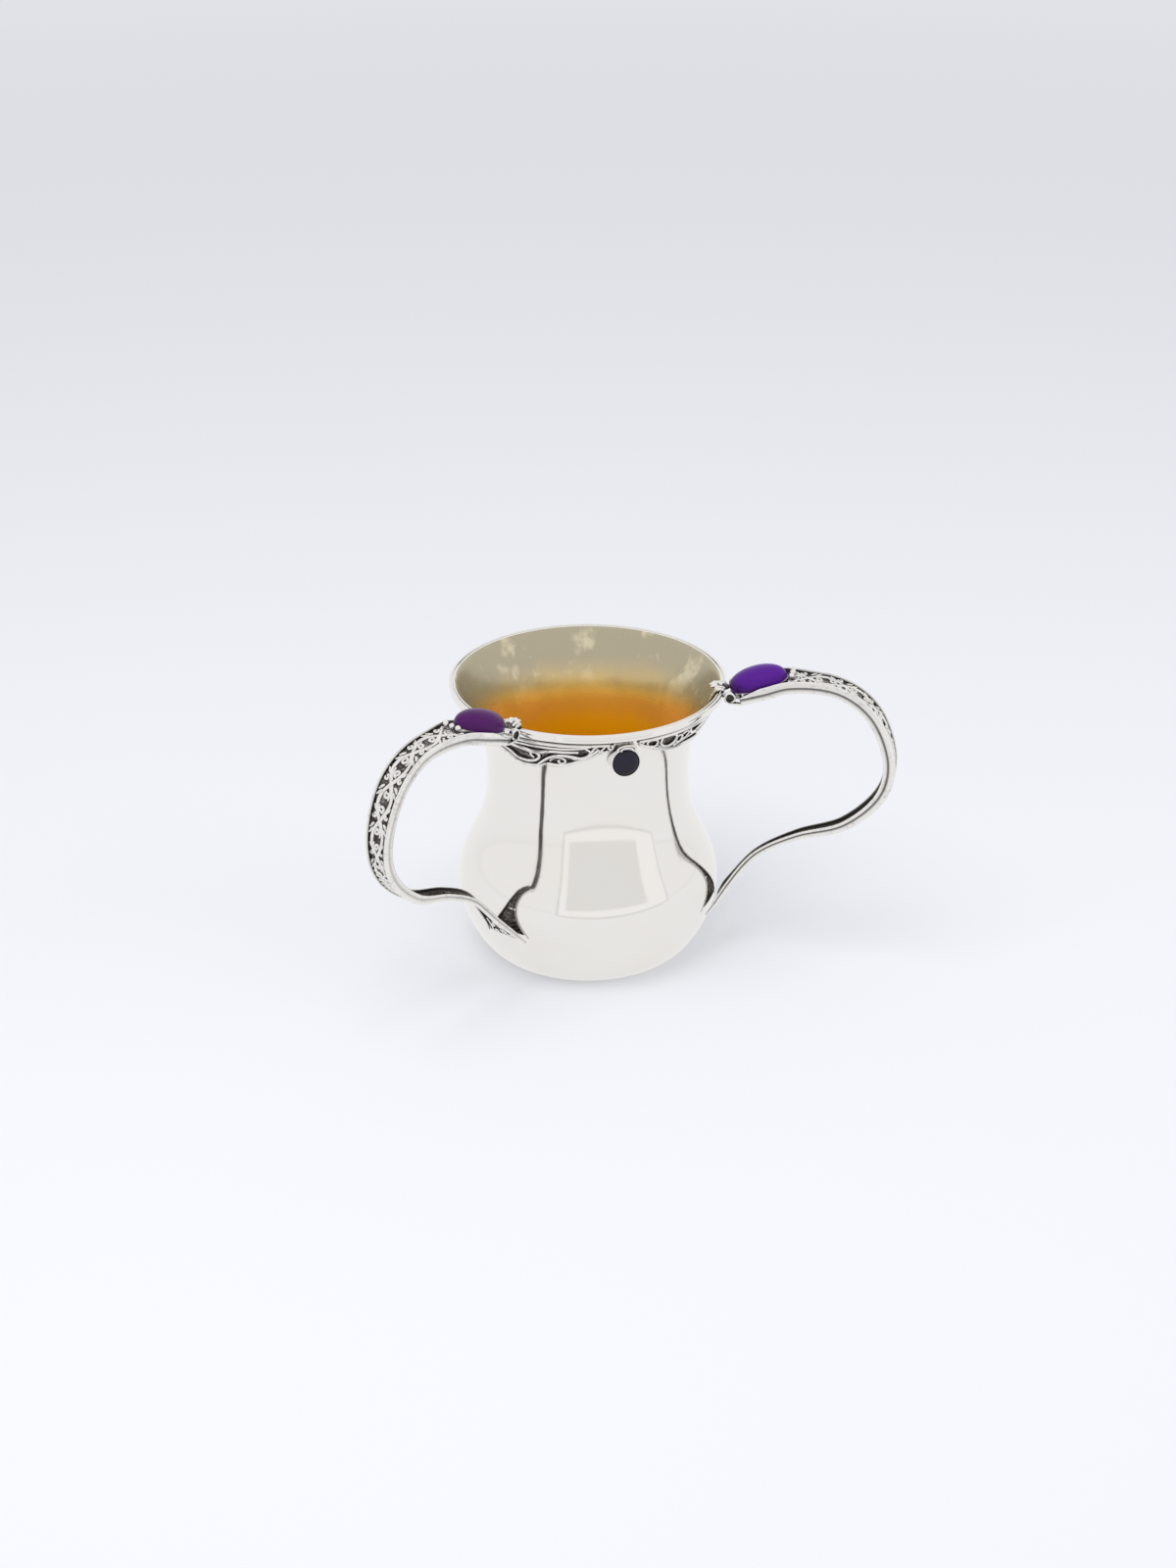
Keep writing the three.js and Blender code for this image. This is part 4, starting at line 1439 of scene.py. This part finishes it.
class WASHCUP_OT_clasps(bpy.types.Operator):
    """Fold the leaf clasps over the lip"""

    bl_idname = "washcup.clasps"
    bl_label = "Leaf clasps"

    def execute(self, context):
        cup = context.scene.cup_sizes
        top = cup.height + CLASP_LIFT
        lip = cup.lip_radius - cup.wall
        for side in SIDES:
            line = strap(side)
            aside = CLASP_LEANS[side] * MM * line.front
            turn = line.turn @ Matrix.Rotation(math.asin(aside / cup.rim_radius), 4, "Z")
            parts = [clasp_wires(cup, turn, top, lip)]
            seat = turn @ Matrix.Translation((lip + TONGUE_ROOT, 0, cup.height))
            parts += [clasp_tongue(*tongue, seat) for tongue in CLASP_TONGUES]
            out, up, radius = (v * MM for v in BED)
            # The bed: a flat ball in the oxide finish under the tongues, black as oxide and as
            # painted shade between them
            bed = ball(turn @ Vector((lip + out, 0, top + up)), radius, BED_SHAPE)
            out, up, radius = (v * MM for v in KNOB)
            parts.append(ball(turn @ Vector((lip + out, 0, top + up)), radius))
            out, up, radius = (v * MM for v in SIDE_KNOB)
            for sign in (1, -1):
                bow = Matrix.Rotation(sign * SIDE_KNOB_TURN, 4, "Z")
                spot = turn @ bow @ Vector((cup.rim_radius + out, 0, top + up))
                parts.append(ball(spot, radius))
            for part in parts:
                paint(part, finishes["clasp"])
            paint(bed, finishes["oxide"])
            clasp = joined([*parts, bed])
            finish(clasp, f"{side}_leaf_clasp", "dark_silver", f"{side}_rim_clasp")
        return {"FINISHED"}


# The garlands' wires: gauge, then places as turn from the front in degrees and drop from the lip
# in mm. The first wire is the lower border.
LEFT_GARLAND = (
    (1.15, (-70.5, 12.5), (-66.5, 14.0), (-61.8, 15.8), (-58.7, 17.7), (-54.1, 18.6),
     (-48.4, 18.4), (-43.4, 17.5), (-39.7, 16.2), (-36.2, 16.4), (-32.2, 16.1), (-28.2, 15.0),
     (-24.3, 13.5), (-20.6, 12.1), (-17.0, 10.3), (-14.1, 9.3), (-10.9, 7.9)),
    (0.95, (-71.0, 10.5), (-66.0, 11.8), (-62.6, 12.6), (-59.8, 13.9), (-56.9, 15.9),
     (-52.4, 16.6), (-47.7, 16.1), (-44.0, 14.2), (-43.3, 12.0), (-45.3, 11.0), (-47.6, 12.6),
     (-46.6, 14.2)),
    (1.1, (-44.6, 17.2), (-40.6, 14.3), (-37.0, 12.2), (-32.2, 10.6), (-27.1, 11.0),
     (-22.8, 11.7), (-19.5, 10.2), (-17.0, 8.3), (-15.0, 6.4)),
    (0.8, (-38.4, 14.8), (-35.4, 12.6), (-31.9, 12.6), (-30.6, 14.2), (-32.3, 15.4),
     (-34.1, 14.6), (-33.0, 13.5)),
    (1.0, (-53.5, 7.6), (-48.0, 7.2), (-43.6, 7.1), (-36.8, 7.0), (-29.6, 6.7), (-22.6, 6.0),
     (-18.5, 5.0)),
    (1.25, (-72.0, 8.4), (-66.0, 8.8), (-59.9, 9.0), (-54.9, 9.0), (-49.9, 9.6), (-46.0, 10.3),
     (-41.2, 10.0), (-36.4, 8.7), (-30.0, 8.4), (-24.0, 8.2)),
    (0.7, (-28.4, 11.2), (-26.3, 12.6), (-23.8, 12.6), (-25.6, 14.0)),
    (0.8, (-22.0, 5.6), (-19.1, 7.8), (-16.6, 10.4)),
    (0.8, (-16.4, 5.0), (-18.1, 7.8), (-20.6, 11.4)),
    (0.8, (-16.8, 5.0), (-14.2, 8.2), (-10.6, 8.6)),
    (0.8, (-12.2, 5.0), (-14.4, 7.9), (-17.2, 10.2)),
    (0.8, (-11.6, 5.0), (-10.1, 6.9), (-9.0, 6.1), (-10.2, 5.0)),
    (1.0, (-72.0, 5.6), (-60.0, 5.4), (-48.0, 5.3), (-36.0, 5.3), (-24.0, 5.2), (-10.5, 5.0)),
    (0.9, (-71.5, 12.0), (-69.4, 9.6), (-70.4, 6.5)),
    (0.8, (-53.5, 7.6), (-55.0, 6.4), (-57.0, 5.6)),
)
RIGHT_GARLAND = (
    (1.15, (2.6, 6.2), (5.5, 7.6), (9.2, 9.2), (15.4, 11.6), (21.1, 13.5), (27.0, 14.3),
     (31.9, 14.6), (40.0, 15.6), (50.0, 17.2), (58.0, 17.0), (65.0, 14.8), (71.5, 11.8)),
    (0.9, (14.2, 5.6), (14.6, 8.5), (18.4, 11.4), (22.6, 11.4), (23.8, 9.0), (21.5, 6.2),
     (18.0, 5.2)),
    (0.8, (7.2, 7.6), (6.8, 5.8), (9.9, 5.4), (12.2, 7.3), (11.6, 9.4), (9.0, 8.8)),
    (0.75, (23.5, 9.2), (25.4, 8.0), (28.8, 10.2), (28.3, 12.0), (25.4, 11.2)),
    (0.85, (24.6, 13.2), (28.8, 11.9), (34.6, 11.4), (39.5, 11.6), (44.0, 13.2)),
    (0.9, (31.0, 6.0), (33.4, 8.6), (37.4, 10.6), (42.5, 9.6), (44.0, 6.8), (42.0, 5.0)),
    (0.75, (27.7, 8.3), (30.4, 7.6), (33.4, 9.6), (32.6, 11.2)),
    (0.75, (13.2, 9.4), (17.2, 11.8), (22.0, 13.2)),
    (0.95, (44.0, 13.2), (48.5, 14.8), (53.5, 13.8), (54.5, 10.6), (51.0, 8.8), (48.4, 10.8),
     (50.4, 12.4)),
    (0.9, (54.5, 10.6), (58.5, 8.6), (63.0, 9.8), (64.0, 12.8), (60.6, 13.8), (59.2, 12.0)),
    (1.0, (2.4, 5.0), (14.0, 5.1), (28.0, 5.2), (42.0, 5.3), (58.0, 5.4), (72.0, 5.6)),
    (0.85, (44.0, 6.8), (50.0, 6.4), (57.0, 7.4), (64.0, 8.0), (71.5, 8.2)),
    (0.9, (71.0, 12.2), (69.4, 9.4), (70.2, 6.0)),
    (0.75, (2.4, 5.2), (3.6, 6.4), (5.2, 5.4)),
)
GARLAND_WIRE = 0.74 * MM
# Where its sheet starts, as a drop from the lip in mm
GARLAND_TOP = 4.6
# How far the wires stand off the neck, and how much further the crossing ones
GARLAND_LIFT, CROSSING_LIFT = 0.2 * MM, 0.12 * MM
GARLAND_SHEET = 0.12 * MM


def neck_spot(sizes):
    """A rule for places by the neck: turn from the front, drop from the lip in mm, and out."""
    radii, heights = zip(*cup_outline(sizes, 40))

    def spot(turn, drop, out):
        height = sizes.height - drop * MM
        radius = float(np.interp(height, heights, radii)) + out
        angle = math.radians(turn - 90)
        return Vector((radius * math.cos(angle), radius * math.sin(angle), height))

    return spot


def garland_wires(spot, pattern):
    """Wires that swell in their middles and cross at three heights."""
    strands = []
    for order, (gauge, *points) in enumerate(pattern):
        strand = []
        for share, (turn, drop) in zip(steps(0, 1, len(points)), points):
            swell = 0.6 + 0.4 * math.sin(math.pi * share)
            wire = GARLAND_WIRE * gauge * (0.55 + 0.45 * swell)
            lift = GARLAND_LIFT + wire * 0.8 + CROSSING_LIFT * (order % 3)
            strand.append((spot(turn, drop, lift), wire))
        strands.append(strand)
    return wirework(strands, smoothness=6)


def garland_sheet(spot, border):
    """The dark sheet behind the wires, from the band down to the lower border."""
    deselect()
    bpy.ops.mesh.primitive_grid_add(x_subdivisions=60, y_subdivisions=8, size=2)
    sheet = bpy.context.object
    turns, drops = zip(*border)

    def skin(co):
        turn = turns[0] + (turns[-1] - turns[0]) * (co.x + 1) / 2
        low = float(np.interp(turn, turns, drops))
        return spot(turn, GARLAND_TOP + (low - GARLAND_TOP) * (co.y + 1) / 2, GARLAND_SHEET)

    reshape(sheet, skin)
    modify(sheet, "SOLIDIFY", thickness=GARLAND_SHEET, offset=0)
    return sheet


class WASHCUP_OT_garlands(bpy.types.Operator):
    """Solder the scroll garlands under the band"""

    bl_idname = "washcup.garlands"
    bl_label = "Garlands"

    def execute(self, context):
        spot = neck_spot(context.scene.cup_sizes)
        for side, pattern in (("left", LEFT_GARLAND), ("right", RIGHT_GARLAND)):
            work = garland_wires(spot, pattern)
            sheet = garland_sheet(spot, pattern[0][1:])
            paint(work, finishes["relief"])
            paint(sheet, finishes["oxide"])
            whole = joined([work, sheet])
            finish(whole, f"{side}_scroll_garland", "dark_silver", f"{side}_garland")
        return {"FINISHED"}


# The front stone: turn and tilt in degrees, and its place's distance from the axis and height
FRONT_TURN, FRONT_TILT = -3.4, 87
FRONT_REACH, FRONT_HEIGHT = 48.3 * MM, 100.5 * MM
ROUND_GAP, ROUND_WALL, ROUND_TALL = 0.15 * MM, 0.5 * MM, 2.3 * MM
ROUND_BASE = 0.9 * MM
# The closed back of its setting, which reaches to the neck
BACK_MARGIN, BACK_DEPTH, BACK_SINKS, BACK_GAP = 0.4 * MM, 5.4 * MM, 2.3 * MM, 0.1 * MM
# The loop above it: half width and height in mm, wire, and its distance and height in mm
LOOP_WIDE, LOOP_TALL = 3.6, 1.5
LOOP_WIRE = 0.42 * MM
LOOP_REACH, LOOP_HEIGHT = 51.5, 106.6


class WASHCUP_OT_front_stone(bpy.types.Operator):
    """Hang the round dark stone and its loop under the band"""

    bl_idname = "washcup.front_stone"
    bl_label = "Front stone"

    def execute(self, context):
        sizes = context.scene.stone_sizes
        cup = context.scene.cup_sizes
        turn = Matrix.Rotation(math.radians(FRONT_TURN), 4, "Z")
        place = turn @ Matrix.Translation((0, -FRONT_REACH, FRONT_HEIGHT))
        place = place @ Matrix.Rotation(math.radians(FRONT_TILT), 4, "X")
        radius = sizes.round_radius
        inside = (radius + ROUND_GAP, radius + ROUND_GAP)
        wall = bezel(*inside, ROUND_WALL, ROUND_TALL, SEAT_RISE, place)
        deselect()
        bpy.ops.mesh.primitive_cylinder_add(
            vertices=48, radius=radius + BACK_MARGIN, depth=BACK_DEPTH
        )
        back = context.object

        def settle(co):
            """Keeps the back outside the neck."""
            x, y, z = co
            spot = place @ Vector((x, y, z - BACK_SINKS))
            floor = cup_radius(cup, spot.z) + BACK_GAP
            reach = math.hypot(spot.x, spot.y)
            if reach < floor:
                spot.x *= floor / reach
                spot.y *= floor / reach
            return spot

        reshape(back, settle)
        soften(back, 0, math.radians(40))
        paint(wall, finishes["rail"])
        paint(back, finishes["rail"])
        setting = joined([wall, back])
        finish(setting, "round_bezel", "silver", "front_setting")
        stone = cabochon(radius, radius, sizes.round_rise, ROUND_BASE)
        reshape(stone, lambda co: place @ co)
        paint(stone, finishes["dark_stone"])
        finish(stone, "round_dark_stone", "dark_stone", "front_stone")
        strands = []
        for swell, out, drop in ((1.0, 0.0, 0.0), (0.62, 0.2, 0.1)):
            strand = []
            for angle in steps(-20, 200, 12):
                x = LOOP_WIDE * swell * math.cos(math.radians(angle))
                z = LOOP_HEIGHT + LOOP_TALL * swell * math.sin(math.radians(angle)) - drop
                strand.append((turn @ (Vector((x, -LOOP_REACH - out, z)) * MM), LOOP_WIRE))
            strands.append(strand)
        loop = wirework(strands, smoothness=6)
        paint(loop, finishes["relief"])
        finish(loop, "hanging_loop", "dark_silver", "front_loop")
        return {"FINISHED"}


# Stage

FLOOR_SIZE = 12
# Between these distances the floor glows more and more by itself, so that it meets the backdrop
FLOOR_FADES = (1.0, 3.2)
NEAR_GLOW = 0.32
# How much of the tent's tone the floor gives to reflections
FLOOR_MIRRORED = 0.86
SKY_TINT, SKY_STRENGTH = (0.95, 0.97, 1, 1), 0.72
# Name, place, size and power
SOFTBOXES = (
    ("top_softbox", (-0.35, -0.25, 1.0), 0.7, 5.0),
    ("side_softbox", (0.9, -0.5, 0.5), 0.6, 2.0),
)
LAMP_TARGET = (0, 0, 60 * MM)
# The window that the belly mirrors: name, brightness, left, right, low, high and distance
WINDOW_CARDS = (
    ("window_outline", 0.8, -0.136, 0.2, 0.024, 0.152, 0.1635),
    ("window_frame", 1.05, -0.128, 0.19, 0.029, 0.148, 0.163),
    ("window_pane", 0.89, -0.105, 0.095, 0.049, 0.142, 0.1625),
)
WINDOW_TURN = -4
# The camera: turn and rise in degrees, distance, focal length in mm and what it looks at
CAMERA_TURN, CAMERA_RISE = -20, 26.26
CAMERA_DISTANCE = 1.2
CAMERA_LENS, SENSOR_WIDTH = 69.66, 36
CAMERA_TARGET = (0.12 * MM, -0.04 * MM, 67.9 * MM)


def ray_masks(bench):
    """Masks for camera rays, for mirrored rays, and for these two or rays through glass."""
    rays = []
    for name in ("Is Camera Ray", "Is Glossy Ray", "Is Transmission Ray"):
        rays.append(bench.node("ShaderNodeLightPath", result=name))
    camera, mirrored, through = rays
    return camera, mirrored, (camera + mirrored + through) > 0.5


def aimed(item, place, target):
    """Links a lamp or camera that looks from a place at a target."""
    item.location = place
    item.rotation_euler = (Vector(place) - Vector(target)).to_track_quat("Z", "Y").to_euler()
    bpy.context.scene.collection.objects.link(item)


def lay_floor(pale, tent):
    """A pale floor that fades into the backdrop and mirrors as the tent."""
    deselect()
    bpy.ops.mesh.primitive_plane_add(size=FLOOR_SIZE)
    floor = bpy.context.object
    floor.name = "floor"
    material, bench = new_material("pale_floor")
    camera, mirrored, _ = ray_masks(bench)
    lit = bench.node("ShaderNodeBsdfDiffuse", {}, {"Color": (*pale, 1)})
    tone = bench.blend(mirrored, pale, tent)
    glow = bench.node("ShaderNodeEmission", {}, {"Color": tone, "Strength": 1.0})
    away = bench.node("ShaderNodeVectorMath", {"operation": "LENGTH"}, {0: bench.spot()}, "Value")
    faded = NEAR_GLOW + (1 - NEAR_GLOW) * bench.ease(away, *FLOOR_FADES)
    share = camera * faded + mirrored * FLOOR_MIRRORED
    mixed = bench.node("ShaderNodeMixShader", {}, {0: share, 1: lit, 2: glow})
    bench.node("ShaderNodeOutputMaterial", {}, {"Surface": mixed})
    paint(floor, material)


def light_tent(pale, tent):
    """Soft light all round, which looks pale to the camera and as the tent in the silver."""
    world = bpy.data.worlds.new("light_tent")
    bpy.context.scene.world = world
    bench = Bench(world)
    _, mirrored, seen = ray_masks(bench)
    sky = {"Color": SKY_TINT, "Strength": SKY_STRENGTH}
    soft = bench.node("ShaderNodeBackground", {}, sky)
    tone = bench.blend(mirrored, pale, tent)
    plain = bench.node("ShaderNodeBackground", {}, {"Color": tone, "Strength": 1.0})
    mixed = bench.node("ShaderNodeMixShader", {}, {0: seen, 1: soft, 2: plain})
    bench.node("ShaderNodeOutputWorld", {}, {"Surface": mixed})


def hang_card(name, shade, left, right, low, high, distance, tent):
    """A glowing card that only reflections see."""
    turn = Matrix.Rotation(math.radians(WINDOW_TURN), 4, "Z")
    deselect()
    bpy.ops.mesh.primitive_plane_add(size=2)
    card = bpy.context.object
    card.name = name

    def hang(co):
        x = left + (right - left) * (co.x + 1) / 2
        z = low + (high - low) * (co.y + 1) / 2
        return turn @ Vector((x, -distance, z))

    reshape(card, hang)
    material, bench = new_material(name)
    light = {"Color": (*toned(tent, shade), 1), "Strength": 1.0}
    glow = bench.node("ShaderNodeEmission", {}, light)
    bench.node("ShaderNodeOutputMaterial", {}, {"Surface": glow})
    paint(card, material)
    card.visible_camera = False
    card.visible_diffuse = False
    card.visible_shadow = False
    card.visible_transmission = False


class WASHCUP_OT_stage(bpy.types.Operator):
    """Lay the pale floor, set the soft lights and aim the camera"""

    bl_idname = "washcup.stage"
    bl_label = "Stage"

    def execute(self, context):
        scene = context.scene
        pale, tent = tuple(scene.cup_colours.backdrop), tuple(scene.cup_colours.tent)
        lay_floor(pale, tent)
        light_tent(pale, tent)
        for name, place, size, power in SOFTBOXES:
            lamp = bpy.data.objects.new(name, bpy.data.lights.new(name, "AREA"))
            lamp.data.size = size
            lamp.data.energy = power
            lamp.visible_glossy = False
            aimed(lamp, place, LAMP_TARGET)
        for card in WINDOW_CARDS:
            hang_card(*card, tent)
        turn, rise = math.radians(CAMERA_TURN), math.radians(CAMERA_RISE)
        flat = math.cos(rise)
        back = Vector((math.sin(turn) * flat, -math.cos(turn) * flat, math.sin(rise)))
        camera = bpy.data.objects.new("camera", bpy.data.cameras.new("camera"))
        camera.data.sensor_width = SENSOR_WIDTH
        camera.data.lens = CAMERA_LENS
        aimed(camera, Vector(CAMERA_TARGET) + CAMERA_DISTANCE * back, CAMERA_TARGET)
        scene.camera = camera
        scene.view_settings.view_transform = "Standard"
        return {"FINISHED"}


class WASHCUP_PT_panel(bpy.types.Panel):
    """Buttons for the parts of the washing cup"""

    bl_idname = "WASHCUP_PT_panel"
    bl_label = "Washing cup"
    bl_space_type = "VIEW_3D"
    bl_region_type = "UI"
    bl_category = "Washing cup"

    def draw(self, context):
        for operator in OPERATORS:
            self.layout.operator(operator.bl_idname)


OPERATORS = (
    WASHCUP_OT_body,
    WASHCUP_OT_rim,
    WASHCUP_OT_rails,
    WASHCUP_OT_strips,
    WASHCUP_OT_feet,
    WASHCUP_OT_amethysts,
    WASHCUP_OT_clasps,
    WASHCUP_OT_garlands,
    WASHCUP_OT_front_stone,
    WASHCUP_OT_stage,
)
GROUPS = (
    ("cup_sizes", CupSizes),
    ("handle_sizes", HandleSizes),
    ("stone_sizes", StoneSizes),
    ("cup_colours", CupColours),
)


def register():
    for name, group in GROUPS:
        bpy.utils.register_class(group)
        setattr(bpy.types.Scene, name, PointerProperty(type=group))
    for item in (*OPERATORS, WASHCUP_PT_panel):
        bpy.utils.register_class(item)


def unregister():
    for item in (WASHCUP_PT_panel, *reversed(OPERATORS)):
        bpy.utils.unregister_class(item)
    for name, group in reversed(GROUPS):
        delattr(bpy.types.Scene, name)
        bpy.utils.unregister_class(group)


def main():
    register()
    mix_finishes(bpy.context.scene)
    bpy.ops.washcup.body()
    bpy.ops.washcup.rim()
    bpy.ops.washcup.rails()
    bpy.ops.washcup.strips()
    bpy.ops.washcup.feet()
    bpy.ops.washcup.amethysts()
    bpy.ops.washcup.clasps()
    bpy.ops.washcup.garlands()
    bpy.ops.washcup.front_stone()
    bpy.ops.washcup.stage()


if __name__ == "__main__":
    main()
